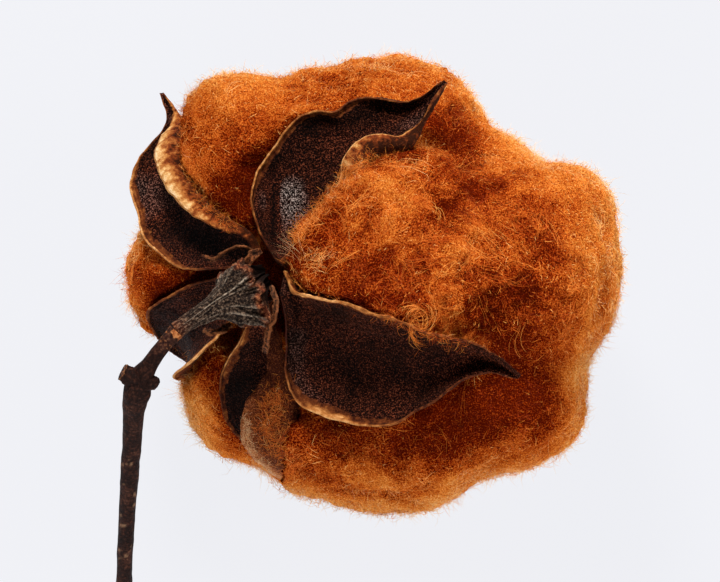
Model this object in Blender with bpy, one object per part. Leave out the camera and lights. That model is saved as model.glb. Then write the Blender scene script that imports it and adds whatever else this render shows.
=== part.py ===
"""A dried open cotton boll on a short cut twig, lying on a flat surface.

Five woody bur valves spread from the receptacle, with a lock of lint swelling
out between each pair.  The twig is jointed to the ridged calyx, and a few
dried remnants of the bracts curl round it.  The boll lies on the flattened
side of its lint, mouth down, and the cut end of the twig touches the same
surface.

Every position below is set out on a drawing sheet: u runs to the right, v
runs down, w runs up from the surface the boll lies on, all three in steps of
STEP millimetres.  place() turns them into metres, +Z up.
"""

import math

import bmesh
import bpy
import numpy as np
from mathutils import Vector, noise
from mathutils.bvhtree import BVHTree

STEP = 0.145          # millimetres per sheet step
EYE = 1000.0          # height from which the sheet was drawn, mm
PLANE = 30.0          # height at which a step is exactly STEP, mm
CENTRE = (360.0, 291.0)
SHIFT = (0.346, -15.237)    # moves the box's middle onto the origin, mm

for old in list(bpy.data.objects):
    bpy.data.objects.remove(old, do_unlink=True)


# ---------------------------------------------------------------- helpers

def place(points):
    """Sheet positions to metres."""
    p = np.atleast_2d(np.asarray(points, float))
    z = p[:, 2] * STEP
    scale = STEP * (EYE - z) / (EYE - PLANE)
    x = (p[:, 0] - CENTRE[0]) * scale - SHIFT[0]
    y = (CENTRE[1] - p[:, 1]) * scale - SHIFT[1]
    return np.stack([x, y, z], axis=1) * 0.001


def upright(points):
    """Sheet positions with v turned round, so that the axes are right-handed."""
    return np.asarray(points, float) * (1.0, -1.0, 1.0)


def curve(points, count):
    """Evenly spaced points on a smooth curve through the given ones."""
    p = np.asarray(points, float)
    p = np.vstack([2 * p[0] - p[1], p, 2 * p[-1] - p[-2]])
    t = np.linspace(0, 1, 12, endpoint=False)[:, None]
    run = []
    for a, b, c, d in zip(p[:-3], p[1:-2], p[2:-1], p[3:]):
        run.append(0.5 * (2 * b + (c - a) * t + (2 * a - 5 * b + 4 * c - d) * t ** 2
                          + (3 * b - a - 3 * c + d) * t ** 3))
    run = np.vstack(run + [p[-2:-1]])
    far = np.concatenate([[0], np.cumsum(np.linalg.norm(np.diff(run, axis=0), axis=1))])
    at = np.linspace(0, far[-1], count)
    return np.stack([np.interp(at, far, run[:, k]) for k in range(run.shape[1])], axis=1)


def unit(v):
    return v / np.maximum(np.linalg.norm(v, axis=-1, keepdims=True), 1e-9)


def material(name, colour, roughness):
    made = bpy.data.materials.new(name)
    made.use_nodes = True
    shader = made.node_tree.nodes["Principled BSDF"]
    shader.inputs["Base Color"].default_value = (*colour, 1)
    shader.inputs["Roughness"].default_value = roughness
    shader.inputs["Metallic"].default_value = 0.0
    made.diffuse_color = (*colour, 1)
    return made


def new_object(name, verts, faces, mat):
    mesh = bpy.data.meshes.new(name)
    mesh.from_pydata([tuple(map(float, v)) for v in verts], [], [tuple(f) for f in faces])
    mesh.update()
    mesh.shade_smooth()
    mesh.materials.append(mat)
    made = bpy.data.objects.new(name, mesh)
    bpy.context.scene.collection.objects.link(made)
    return made


def sheet(name, grid, thick, mat, taper=None, turned=False):
    """A thin curved plate: a grid of sheet positions, thickened on its inner side.
    taper holds each row's share of the thickness; turned swaps the inner side."""
    rows, cols = grid.shape[:2]
    verts = place(grid.reshape(-1, 3))
    faces = [(i * cols + j, (i + 1) * cols + j, (i + 1) * cols + j + 1, i * cols + j + 1)
             for i in range(rows - 1) for j in range(cols - 1)]
    if turned:
        faces = [f[::-1] for f in faces]
    made = new_object(name, verts, faces, mat)
    solid = made.modifiers.new("Solidify", "SOLIDIFY")
    solid.thickness = thick * 0.001
    solid.offset = -1.0
    solid.use_rim = True
    if taper is not None:
        group = made.vertex_groups.new(name="thickness")
        for i, row in enumerate(taper):
            group.add(range(i * cols, (i + 1) * cols), float(row), "REPLACE")
        solid.vertex_group = "thickness"
        solid.thickness_vertex_group = 0.0
    return made


def rings(name, centres, radii, mat, sides, wave=None):
    """A closed body through rings about a bent centre line; wave(i, angle) scales a radius."""
    c = upright(centres)
    along = np.gradient(c, axis=0)
    along = unit(along)
    side = np.zeros_like(c)
    start = np.cross(along[0], (0.0, 0.0, 1.0))
    side[0] = unit(start)
    for i in range(1, len(c)):
        side[i] = unit(side[i - 1] - along[i] * np.dot(side[i - 1], along[i]))
    other = np.cross(along, side)
    angles = np.linspace(0, 2 * math.pi, sides, endpoint=False)
    verts = []
    for i in range(len(c)):
        for a in angles:
            r = radii[i] * (wave(i, a) if wave else 1.0)
            verts.append(c[i] + r * (math.cos(a) * side[i] + math.sin(a) * other[i]))
    verts = np.array(verts)
    faces = []
    for i in range(len(c) - 1):
        for j in range(sides):
            k = (j + 1) % sides
            faces.append((i * sides + j, i * sides + k, (i + 1) * sides + k, (i + 1) * sides + j))
    faces.append(tuple(range(sides))[::-1])
    faces.append(tuple((len(c) - 1) * sides + j for j in range(sides)))
    made = new_object(name, place(upright(verts)), faces, mat)
    bm = bmesh.new()
    bm.from_mesh(made.data)
    bmesh.ops.recalc_face_normals(bm, faces=bm.faces)
    bm.to_mesh(made.data)
    bm.free()
    return made


# ------------------------------------------------- the boll's own axis

RECEPTACLE = np.array([258.0, 275.0, 345.0])
AXIS = np.array([0.656, 0.0, -0.755])      # from the receptacle to the mouth
EAST = np.array([0.755, 0.0, 0.656])
NORTH = np.array([0.0, -1.0, 0.0])         # up the sheet


def root(angle, radius=26.0, deep=12.0):
    """A point on the ring from which the valves spring."""
    a = math.radians(angle)
    return tuple(RECEPTACLE + deep * AXIS + radius * (math.cos(a) * EAST + math.sin(a) * NORTH))


# ---------------------------------------------------------------- materials

BARK = material("bark", (0.075, 0.035, 0.022), 0.75)
CALYX = material("calyx_grey", (0.13, 0.115, 0.095), 0.8)
BRACT = material("dried_bract", (0.22, 0.10, 0.045), 0.8)
BUR = material("bur_shell", (0.055, 0.022, 0.018), 0.6)
LINT = material("cotton_lint", (0.50, 0.13, 0.02), 1.0)


# ---------------------------------------------------------------- bur valves
# left and right are a valve's margins from root to tip; lip is the free edge of
# the right margin where it has dried and rolled outwards.  dish is how deep the
# dried outer face sinks between its raised margins.

VALVES = {
    "bur_valve_1": dict(
        left=[root(157), (227, 267.5, 315), (209, 270, 305), (184, 269, 286), (162, 256, 264),
              (143.5, 237, 243), (138, 216, 228), (132, 195, 214), (130, 182, 206),
              (138, 161, 200), (150, 145, 197), (162, 132, 195), (167, 119, 193),
              (164, 106, 192), (159.5, 93, 190)],
        right=[root(110), (245, 237, 322), (226, 226, 304), (206, 212, 284), (192, 190, 263),
               (186, 162, 241), (183, 137, 222), (178, 117, 207), (171, 103, 198), (163, 93, 191)],
        lip=[root(111, 25, 6), (242, 237, 336), (214, 228, 322), (191, 213, 304), (171, 193, 286),
             (159, 173, 269), (155, 156, 251), (160, 140, 234), (171, 127, 219),
             (174, 114, 208), (169, 102, 200), (162.5, 93, 194)],
        dish=9.0, roll=1.0, turned=True),
    "bur_valve_2": dict(
        left=[root(76), (258, 226, 326), (251, 200, 313), (256, 176, 304), (267, 157, 299),
              (281, 136, 297), (296, 119, 300), (316, 111, 307), (335, 112, 314),
              (352, 100, 317), (372, 97, 325), (392, 101, 333), (408, 100, 338),
              (423, 94, 342), (444, 80, 349)],
        right=[root(25.6), (301, 247, 343), (317, 229, 337), (335, 207, 336), (351, 187, 341),
               (362, 168, 347), (373, 155, 350), (391, 149, 349), (408, 143, 348),
               (420, 129, 348), (436, 102, 350), (447, 83, 350)],
        lip=[root(28, 27, 5), (299, 243, 350), (315, 221, 346), (331, 198, 346), (342, 178, 352),
             (347, 156, 364), (361, 140, 366), (380, 136, 362), (396, 137, 358),
             (412, 130, 352), (432, 101, 354), (446, 83, 353)],
        dish=20.0, roll=1.0, turned=True),
    "bur_valve_3": dict(
        left=[root(-46), (284, 310, 349), (286.5, 334, 341), (286.5, 354, 332), (286, 374, 324),
              (293, 394, 317), (302, 406, 319), (321, 415, 326), (340, 421, 334),
              (360, 425, 343), (380, 426, 351), (399, 422, 358), (416, 411, 364),
              (439, 399, 373), (457, 385, 380), (475, 377, 384), (494, 375, 387), (518, 379, 387)],
        right=[root(4.4), (291, 293, 366), (307, 299, 373), (326, 302, 380), (346, 306, 385),
               (360, 312, 389), (376, 318, 391), (398, 323, 394), (426, 336, 396),
               (453, 342, 396), (480, 349, 393), (499, 361, 391), (520, 376.5, 389)],
        lip=[root(6, 27, 7), (293, 291, 372), (309, 297, 380), (328, 300, 387), (348, 304, 392),
             (361, 309, 396), (377, 315, 398), (399, 320, 401), (427, 333, 402),
             (453, 339, 402), (481, 346, 399), (500, 358, 396), (521, 375, 391)],
        dish=30.0, roll=0.4, turned=False),
    "bur_valve_4": dict(
        left=[root(247), (247, 322, 306), (236, 345, 290), (226, 362, 277), (220, 378, 264),
              (220, 392, 254), (222, 408, 243), (227, 422, 233), (236, 433, 224),
              (246, 445, 215), (256, 457, 208), (268, 469, 204), (281, 478, 204)],
        right=[root(284), (270, 325, 312), (276, 345, 297), (281, 365, 286), (288, 385, 280),
               (294, 405, 278), (297, 424, 269), (298, 440, 257), (297, 455, 240),
               (292, 468, 222), (283, 478, 208)],
        lip=[root(282, 29, 9), (264, 330, 314), (266, 350, 311), (268, 369, 309), (260, 383, 307),
             (250, 396, 304), (244, 409, 297), (241, 423, 289), (241, 433, 281),
             (246, 447, 270), (254, 457, 257), (263, 466, 243), (272, 474, 228),
             (280, 479, 212)],
        dish=9.0, roll=1.0, turned=False),
    "bur_valve_5": dict(
        left=[root(172), (214, 277, 292), (189, 285, 275), (166, 297, 254), (149, 309, 232),
              (147, 317, 215), (152, 328, 192), (160, 340, 165), (172, 352, 138), (184, 361, 118)],
        right=[root(219), (238, 310, 308), (222, 327, 300), (208, 341, 289), (197, 351, 273),
               (191, 358, 252), (188, 363, 225), (188, 366, 190), (189, 367, 155), (189, 365, 119)],
        lip=[root(217, 29, 9), (235, 315, 314), (222, 331, 309), (211, 343, 301), (200, 352, 291),
             (190, 361, 280), (180, 368, 266), (172, 376, 249), (176, 380, 225),
             (182, 376, 195), (186, 371, 158), (188, 368, 121)],
        dish=20.0, roll=0.0, turned=False),
}


def valve_grid(spec, rows, across, over):
    """Outer face of one valve, root to tip, from left margin to the free edge of the lip."""
    left = upright(curve(spec["left"], rows))
    right = upright(curve(spec["right"], rows))
    lip = upright(curve(spec["lip"], rows))
    middle = (left + right) / 2
    along = unit(np.gradient(middle, axis=0))
    inwards = unit(np.cross(right - left, along)) * (-1.0 if spec["turned"] else 1.0)
    t = np.linspace(0, 1, rows)[:, None]
    middle = middle + inwards * spec["dish"] * np.sin(math.pi * np.clip(t, 0, 1) ** 0.75) ** 0.8
    grid = np.zeros((rows, across + over, 3))
    for j, v in enumerate(np.linspace(-1, 1, across)):
        grid[:, j] = middle + (right - left) / 2 * v + ((left + right) / 2 - middle) * abs(v) ** 2.2
    reach = np.linalg.norm(lip - right, axis=1, keepdims=True)
    leave = unit(grid[:, across - 1] - grid[:, across - 2]) * reach * np.clip(reach / 9.0, 0.3, 1.3)
    come = unit(middle - right) * reach * spec["roll"] + (lip - right) * (1 - spec["roll"])
    for j in range(over):
        s = (j + 1) / over
        grid[:, across + j] = ((2 * s ** 3 - 3 * s ** 2 + 1) * right + (s ** 3 - 2 * s ** 2 + s) * leave
                               + (3 * s ** 2 - 2 * s ** 3) * lip + (s ** 3 - s ** 2) * come)
    return upright(grid)


plates = {}
for name, spec in VALVES.items():
    row = np.linspace(0, 1, 19)
    plates[name] = sheet(name, valve_grid(spec, 19, 8, 4), 0.85, BUR,
                         np.clip((1.06 - row) / 0.35, 0.2, 1.0), spec["turned"])


# ---------------------------------------------------------------- twig
# From the joint below the calyx, over the node with its broken side shoot,
# down to the cut end that touches the surface.

TWIG = [(176, 331, 405), (168, 340, 405), (159, 351, 403), (150, 365, 399), (141, 379, 393),
        (136, 393, 385), (134, 410, 369), (132, 442, 335), (129, 486, 290), (126.3, 530, 243),
        (124, 582, 184), (121, 650, 99), (119, 722, 9)]
TWIG_R = [8.6, 8.0, 8.0, 8.6, 12.5, 12.5, 10.5, 9.8, 8.8, 8.0, 8.0, 8.2, 8.6]


def twig_radius(centres, radii, count):
    c = curve([(*p, r) for p, r in zip(centres, radii)], count)
    return c[:, :3], c[:, 3]


line, thick = twig_radius(TWIG, TWIG_R, 34)


def bark_wave(i, a):
    p = line[i] * 0.03
    return 1.0 + 0.07 * noise.noise(Vector((p[0] + math.cos(a), p[1] + math.sin(a), p[2])))


stem = rings("stem", line, thick, BARK, 12, bark_wave)
floor_z = 0.0
for v in stem.data.vertices:
    v.co.z = max(v.co.z, floor_z)

stub_line = np.array([(141, 381, 394), (133, 377, 395), (127, 374, 396), (123, 372, 397)], float)
stub = rings("stub", stub_line, [9.5, 9.5, 9.0, 7.0], BARK, 10)
bud = rings("bud", np.array([(144, 382, 393), (152, 382, 395), (158, 381, 396)], float),
            [9.0, 7.0, 3.5], BARK, 8)
for extra in (stub, bud):
    join = stem.modifiers.new("Join " + extra.name, "BOOLEAN")
    join.operation = "UNION"
    join.object = extra
    extra.hide_render = True
    extra.display_type = "WIRE"


# ---------------------------------------------------------------- calyx
# A ridged funnel from the twig's joint to a ragged rim, then the plug of the
# receptacle inside the ring of valves.

CUP = [(179, 328.5, 404), (188, 322, 400), (198, 315, 394), (209, 307, 387), (220, 300, 379),
       (232, 294, 370), (242, 290, 362), (248, 286, 357), (254, 280, 349), (262, 276, 340)]
CUP_R = [8.0, 8.7, 9.8, 11.6, 18.0, 28.0, 33.0, 22.0, 14.0, 12.0]
CUP_LEAN = [0.02, 0.08, 0.20, 0.30, 0.36, 0.20, 0.16, 0.08, 0.0, 0.0]   # fuller on its lower side


def cup_wave(i, a):
    ridge = 0.05 * math.cos(10 * a + 0.3) * min(1, i / 3)
    lobe = (0.10 * math.cos(3 * a + 1.1) + 0.06 * math.cos(5 * a)) * (1 if 4 <= i <= 6 else 0.2)
    return (1.0 + ridge + lobe) * (1.0 + CUP_LEAN[i] * math.cos(a))


calyx = rings("calyx", np.array(CUP, float), CUP_R, CALYX, 30, cup_wave)


# ---------------------------------------------------------------- bract remnants
# Four torn, dried ribbons left round the calyx: middle lines and half widths.

def ribbon(name, middle, half, lean, thick=0.55):
    m = upright(curve(middle, 12))
    h = np.interp(np.linspace(0, 1, 12), np.linspace(0, 1, len(half)), half)
    along = unit(np.gradient(m, axis=0))
    lean = unit(upright(curve(lean, 12)))
    width = unit(lean - along * np.sum(lean * along, axis=1, keepdims=True))
    face = unit(np.cross(width, along))
    grid = np.zeros((12, 5, 3))
    for j, s in enumerate(np.linspace(-1, 1, 5)):
        grid[:, j] = m + width * (h * s)[:, None] - face * (h * 0.35 * s * s)[:, None]
    return sheet(name, upright(grid), thick, BRACT)


ribbon("bract_remnant_1", [(203, 256, 330), (213, 259, 338), (222, 253, 345), (233, 247, 351), (245, 246, 355), (254, 250, 357)],
       [2.5, 4, 5, 5.5, 5, 3], [(0.3, -0.6, 0.8), (0.2, -0.5, 0.9), (0.1, -0.5, 0.9)])
ribbon("bract_remnant_2", [(271, 286, 383), (277, 297, 388), (278, 310, 387), (274, 323, 380), (268, 337, 367), (265, 351, 350)],
       [2.5, 4.5, 5.5, 5.5, 4.2, 2], [(0.9, 0.1, 0.4), (0.8, 0.2, 0.6), (0.9, 0.1, 0.5)])
ribbon("bract_remnant_3", [(232, 326, 352), (222, 331, 352), (212, 334, 350), (203, 331, 349)],
       [3, 5, 4.5, 2], [(0.1, 0.8, 0.6), (0.1, 0.7, 0.7), (0.1, 0.8, 0.6)])


# ---------------------------------------------------------------- lint locks
# Each lock is a cloud of overlapping ellipsoids (centre u v w, radii u v w).

LOCKS = {
    "lint_lock_1": dict(heart=(345, 148, 215), lumps=[
        (245, 155, 228, 72, 82, 86), (222, 168, 258, 44, 56, 36), (238, 204, 282, 34, 34, 34),
        (214, 116, 215, 33, 34, 50),
        (335, 149, 195, 92, 86, 122), (399, 147, 195, 92, 92, 130), (500, 166, 190, 32, 34, 70),
        (362, 165, 105, 112, 95, 118)]),
    "lint_lock_2": dict(heart=(432, 252, 300), lumps=[
        (480, 268, 225, 142, 112, 150), (532, 310, 200, 78, 67, 120), (420, 240, 290, 100, 92, 98),
        (376, 250, 345, 80, 74, 56), (328, 257, 360, 40, 42, 34), (400, 305, 345, 95, 48, 52),
        (396, 190, 350, 52, 46, 36), (556, 205, 205, 58, 41, 90),
        (455, 268, 105, 125, 105, 120)]),
    "lint_lock_3": dict(heart=(420, 410, 215), lumps=[
        (481, 398, 190, 110, 81, 140), (398, 427, 200, 98, 94, 140), (325, 425, 195, 62, 72, 100),
        (296, 432, 262, 38, 50, 40), (304, 460, 205, 33, 33, 56),
        (440, 390, 100, 112, 92, 115)]),
    "lint_lock_4": dict(heart=(272, 392, 155), lumps=[
        (262, 395, 150, 80, 72, 115), (203, 378, 188, 26, 34, 60), (218, 360, 212, 30, 30, 46), (325, 395, 108, 92, 82, 116)]),
    "lint_lock_5": dict(heart=(225, 265, 160), lumps=[
        (203, 279, 165, 81, 80, 112), (285, 262, 106, 115, 92, 114)]),
}
RUG = 0.07      # depth of the soft billows, as a share of a lock's radius


def swell(points, lumps):
    """How far inside a lock each sheet position is: 0 on its skin, in sheet steps."""
    total = np.zeros(len(points))
    for u, v, w, a, b, c in lumps:
        q = (points - (u, v, w)) / (a, b, c)
        inside = (1.0 - np.linalg.norm(q, axis=1)) * min(a, b, c)
        total = total + np.exp(np.clip(inside, -200, 200) / 9.0)
    return 9.0 * np.log(total)


def billow(points):
    return np.array([noise.fractal(Vector(p * 0.022), 0.9, 2.1, 3) for p in points])


graph = bpy.context.evaluated_depsgraph_get()
bpy.context.view_layer.update()
walls = [BVHTree.FromObject(o, graph) for o in bpy.context.scene.objects
         if o.type == "MESH" and o.name not in ("stub", "bud")]


def lock_shape(name, spec, detail):
    ball = bmesh.new()
    bmesh.ops.create_icosphere(ball, subdivisions=detail, radius=1.0)
    ways = np.array([v.co[:] for v in ball.verts])
    ways = unit(ways)
    near = [[e.other_vert(v).index for e in v.link_edges] for v in ball.verts]
    faces = [[v.index for v in f.verts] for f in ball.faces]
    ball.free()
    heart = np.array(spec["heart"], float)
    reach = np.full(len(ways), 0.0)
    going = np.ones(len(ways), bool)
    bump = billow(ways * 60 + heart) * 9.0
    for step in np.arange(4.0, 330.0, 3.0):
        p = heart + ways * (1.0, -1.0, 1.0) * step
        mine = swell(p, spec["lumps"]) + bump
        rival = np.max([swell(p, other["lumps"]) for key, other in LOCKS.items() if key != name], axis=0)
        going &= (mine > 0) & (mine > rival + 4.0)
        reach[going] = step
    # the flat that the lock lies on
    down = -ways[:, 2]
    meets = np.where(down > 1e-6, heart[2] / np.maximum(down, 1e-6), 1e9)
    reach = np.minimum(reach, meets)
    return heart, ways, near, faces, reach


def lock_points(heart, ways, reach):
    p = place(heart + ways * (1.0, -1.0, 1.0) * reach[:, None])
    return p


def lock(name, spec, detail):
    heart, ways, near, faces, reach = lock_shape(name, spec, detail)
    start = Vector(place(heart)[0])
    full = lock_points(heart, ways, reach)
    held = np.zeros(len(ways), bool)
    for i, end in enumerate(full):
        to = Vector(end) - start
        far = to.length
        to.normalize()
        for wall in walls:
            hit = wall.ray_cast(start, to, far + 0.0012)
            if hit[0] is not None:
                share = max((hit[3] - 0.0012) / far, 0.05)
                reach[i] = min(reach[i], reach[i] * share) if share < 1 else reach[i]
                held[i] = True
    low = reach.copy()
    for i, others in enumerate(near):
        blocked = [reach[j] for j in others if held[j]]
        if blocked:
            low[i] = min(low[i], min(blocked) + 6.0)
    reach = low
    return heart, ways, faces, reach


def tree_of(points, faces):
    return BVHTree.FromPolygons([tuple(p) for p in points], faces)


bodies = {name: lock(name, spec, 4) for name, spec in LOCKS.items()}
done = []
for name, (heart, ways, faces, reach) in bodies.items():
    for attempt in range(60):
        points = lock_points(heart, ways, reach)
        points[:, 2] = np.where(points[:, 2] < 2e-5, 0.0, points[:, 2])
        mine = tree_of(points, faces)
        touching = set()
        for other in walls + done:
            touching |= {i for i, _ in mine.overlap(other)}
        if not touching:
            break
        shrink = {v for f in touching for v in faces[f]}
        for v in shrink:
            reach[v] *= 0.965
    # a clear gap of about 0.3 mm to what it touches
    for v in range(len(reach)):
        p = Vector(points[v])
        gap = min([w.find_nearest(p)[3] for w in walls + done] + [1.0])
        if gap < 0.00035 and points[v][2] > 1e-5:
            reach[v] -= 2.5
    points = lock_points(heart, ways, reach)
    points[:, 2] = np.where(points[:, 2] < 2e-5, 0.0, points[:, 2])
    made = new_object(name, points, faces, LINT)
    done.append(tree_of(points, faces))
    print(name, "rounds", attempt)
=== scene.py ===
"""Looks of a dried, opened cotton boll that lies on its lint.

The bur valves, twig, calyx and bract remnants are modelled again at full
detail over their CAD solids, and each lock of lint is a billowed body under a
coat of closed, tapered fibres.  Sheet positions (u right, v down, w up, in
steps of STEP millimetres) are the same as the CAD's.
"""

import math

import bmesh
import bpy
import numpy as np
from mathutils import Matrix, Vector
from mathutils.bvhtree import BVHTree


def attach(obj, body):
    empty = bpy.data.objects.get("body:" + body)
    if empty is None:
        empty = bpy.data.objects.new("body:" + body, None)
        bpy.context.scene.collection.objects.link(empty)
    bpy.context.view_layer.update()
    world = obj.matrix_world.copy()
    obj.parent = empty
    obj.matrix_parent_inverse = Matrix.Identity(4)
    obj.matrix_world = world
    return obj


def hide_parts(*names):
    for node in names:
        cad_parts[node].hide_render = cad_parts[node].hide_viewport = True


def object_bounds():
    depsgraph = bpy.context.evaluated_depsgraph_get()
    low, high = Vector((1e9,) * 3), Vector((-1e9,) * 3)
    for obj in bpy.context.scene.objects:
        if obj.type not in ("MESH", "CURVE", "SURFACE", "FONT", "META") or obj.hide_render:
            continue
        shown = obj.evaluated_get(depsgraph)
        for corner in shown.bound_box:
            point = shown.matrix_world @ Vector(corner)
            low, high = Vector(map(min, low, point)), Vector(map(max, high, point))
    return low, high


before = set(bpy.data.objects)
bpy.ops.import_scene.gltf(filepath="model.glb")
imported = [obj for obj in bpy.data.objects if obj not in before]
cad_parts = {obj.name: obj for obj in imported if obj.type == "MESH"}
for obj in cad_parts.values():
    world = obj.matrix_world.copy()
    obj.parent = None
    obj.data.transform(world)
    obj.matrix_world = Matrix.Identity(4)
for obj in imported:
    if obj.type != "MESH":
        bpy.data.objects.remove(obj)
CAD_BOX = [list(map(float, c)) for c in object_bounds()]

STEP, EYE, PLANE = 0.145, 1000.0, 30.0
CENTRE = (360.0, 291.0)
SHIFT = (0.346, -15.237)
rng = np.random.default_rng(11)


# ---------------------------------------------------------------- helpers

def place(points):
    p = np.atleast_2d(np.asarray(points, float))
    z = p[:, 2] * STEP
    scale = STEP * (EYE - z) / (EYE - PLANE)
    x = (p[:, 0] - CENTRE[0]) * scale - SHIFT[0]
    y = (CENTRE[1] - p[:, 1]) * scale - SHIFT[1]
    return np.stack([x, y, z], axis=1) * 0.001


def upright(points):
    return np.asarray(points, float) * (1.0, -1.0, 1.0)


def sheet_of(metres):
    """Metres back to upright sheet steps, where the camera looks straight down every column."""
    p = np.atleast_2d(metres) * 1000.0
    scale = STEP * (EYE - p[:, 2]) / (EYE - PLANE)
    return np.stack([(p[:, 0] + SHIFT[0]) / scale + CENTRE[0], (p[:, 1] + SHIFT[1]) / scale - CENTRE[1], p[:, 2] / STEP], axis=1)


def curve(points, count):
    p = np.asarray(points, float)
    p = np.vstack([2 * p[0] - p[1], p, 2 * p[-1] - p[-2]])
    t = np.linspace(0, 1, 12, endpoint=False)[:, None]
    run = []
    for a, b, c, d in zip(p[:-3], p[1:-2], p[2:-1], p[3:]):
        run.append(0.5 * (2 * b + (c - a) * t + (2 * a - 5 * b + 4 * c - d) * t ** 2
                          + (3 * b - a - 3 * c + d) * t ** 3))
    run = np.vstack(run + [p[-2:-1]])
    far = np.concatenate([[0], np.cumsum(np.linalg.norm(np.diff(run, axis=0), axis=1))])
    at = np.linspace(0, far[-1], count)
    return np.stack([np.interp(at, far, run[:, k]) for k in range(run.shape[1])], axis=1)


def unit(v):
    return v / np.maximum(np.linalg.norm(v, axis=-1, keepdims=True), 1e-9)


def corner(i, j, k, seed):
    h = (i * 374761393 + j * 668265263 + k * 1442695041 + seed * 974634777) & 0xFFFFFFFF
    h = ((h ^ (h >> 13)) * 1274126177) & 0xFFFFFFFF
    return ((h ^ (h >> 16)) & 0xFFFFFF) / 8388607.5 - 1.0


def noise(p, seed=0):
    """Smooth noise from -1 to 1 at each position, one bump per unit."""
    f = np.floor(p).astype(np.int64)
    t = p - f
    t = t * t * t * (t * (t * 6 - 15) + 10)
    out = 0.0
    for a in (0, 1):
        for b in (0, 1):
            for c in (0, 1):
                share = (np.where(a, t[..., 0], 1 - t[..., 0]) * np.where(b, t[..., 1], 1 - t[..., 1])
                         * np.where(c, t[..., 2], 1 - t[..., 2]))
                out = out + share * corner(f[..., 0] + a, f[..., 1] + b, f[..., 2] + c, seed)
    return out


def rough(p, size, octaves=3, seed=0, keep=0.5):
    """Layered noise; size is the width of its largest bumps."""
    q, out, high, total = np.asarray(p, float) / size, 0.0, 1.0, 0.0
    for o in range(octaves):
        out = out + high * noise(q, seed + 17 * o)
        total += high
        q, high = q * 2.03 + 5.7, high * keep
    return out / total


def ramp(x, low, high):
    t = np.clip((x - low) / (high - low), 0, 1)
    return t * t * (3 - 2 * t)


def build(name, verts, faces, mats, which=None, smooth=True, paint=None, uv=None):
    """A mesh object from arrays: faces is one (n, 3 or 4) array or a list of such arrays."""
    groups = faces if isinstance(faces, list) else [faces]
    mesh = bpy.data.meshes.new(name)
    mesh.vertices.add(len(verts))
    mesh.vertices.foreach_set("co", np.asarray(verts, np.float32).ravel())
    loops = np.concatenate([g.ravel() for g in groups]).astype(np.int32)
    sizes = np.concatenate([np.full(len(g), g.shape[1]) for g in groups])
    starts = np.concatenate([[0], np.cumsum(sizes)[:-1]]).astype(np.int32)
    mesh.loops.add(len(loops))
    mesh.loops.foreach_set("vertex_index", loops)
    mesh.polygons.add(len(sizes))
    mesh.polygons.foreach_set("loop_start", starts)
    mesh.polygons.foreach_set("use_smooth", np.full(len(sizes), smooth))
    if which is not None:
        mesh.polygons.foreach_set("material_index", np.asarray(which, np.int32))
    mesh.update(calc_edges=True)
    if paint is not None:
        layer = mesh.color_attributes.new("Paint", "FLOAT_COLOR", "POINT")
        full = np.ones((len(verts), 4), np.float32)
        full[:, :paint.shape[-1]] = paint
        layer.data.foreach_set("color", full.ravel())
    if uv is not None:
        layer = mesh.uv_layers.new(name="OFBake")
        layer.data.foreach_set("uv", np.asarray(uv, np.float32)[loops].ravel())
    for m in mats if isinstance(mats, (list, tuple)) else [mats]:
        mesh.materials.append(m)
    made = bpy.data.objects.new(name, mesh)
    bpy.context.scene.collection.objects.link(made)
    return made


def piece(obj, slot, *nodes):
    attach(obj, "root")
    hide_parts(*nodes)
    return obj


# ---------------------------------------------------------------- camera, floor, light

scene = bpy.context.scene
scene.view_settings.view_transform = "Standard"
MID = Vector((-SHIFT[0] * 0.001, -SHIFT[1] * 0.001, 0.0))

view = bpy.data.cameras.new("Camera")
view.sensor_width = 36.0
view.lens = 36.0 * (EYE - PLANE) / (720 * STEP)
view.clip_start, view.clip_end = 0.05, 20.0
camera = bpy.data.objects.new("Camera", view)
camera.location = MID + Vector((0, 0, EYE * 0.001))
scene.collection.objects.link(camera)
scene.camera = camera


def nodes_of(name):
    mat = bpy.data.materials.new(name)
    mat.use_nodes = True
    return mat, mat.node_tree, mat.node_tree.nodes["Principled BSDF"]


def floor_finish():
    mat, tree, shader = nodes_of("pale_floor")
    shader.inputs["Base Color"].default_value = (0.03, 0.03, 0.03, 1)
    shader.inputs["Roughness"].default_value = 0.9
    shader.inputs["Specular IOR Level"].default_value = 0.0
    shader.inputs["Emission Color"].default_value = (0.838, 0.846, 0.888, 1)
    shader.inputs["Emission Strength"].default_value = 0.985
    return mat


floor = build("floor", [(-3, -3, 0), (3, -3, 0), (3, 3, 0), (-3, 3, 0)], np.array([[0, 1, 2, 3]]), floor_finish(), smooth=False)
floor.location.z = -0.0002


def softbox(name, spot, aim, size, watts, colour=(1, 1, 1)):
    lamp = bpy.data.lights.new(name, "AREA")
    lamp.shape = "DISK"
    lamp.size = size
    lamp.energy = watts
    lamp.color = colour
    made = bpy.data.objects.new(name, lamp)
    made.location = MID + Vector(spot)
    made.rotation_euler = (Vector(aim) - Vector(spot)).to_track_quat("-Z", "Y").to_euler()
    scene.collection.objects.link(made)


softbox("key", (-0.08, 0.46, 0.38), (0.0, 0.0, 0.03), 0.16, 6.0, (1.0, 0.985, 0.96))
softbox("side", (0.50, 0.10, 0.20), (0.01, 0.0, 0.03), 0.24, 2.6, (1.0, 0.98, 0.96))
softbox("low", (-0.16, -0.46, 0.22), (0.0, 0.0, 0.03), 0.30, 3.1, (1.0, 0.99, 0.98))

world = bpy.data.worlds.new("studio")
world.use_nodes = True
world.node_tree.nodes["Background"].inputs["Color"].default_value = (1.0, 0.97, 0.93, 1)
world.node_tree.nodes["Background"].inputs["Strength"].default_value = 0.12
scene.world = world


# ---------------------------------------------------------------- materials

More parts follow.
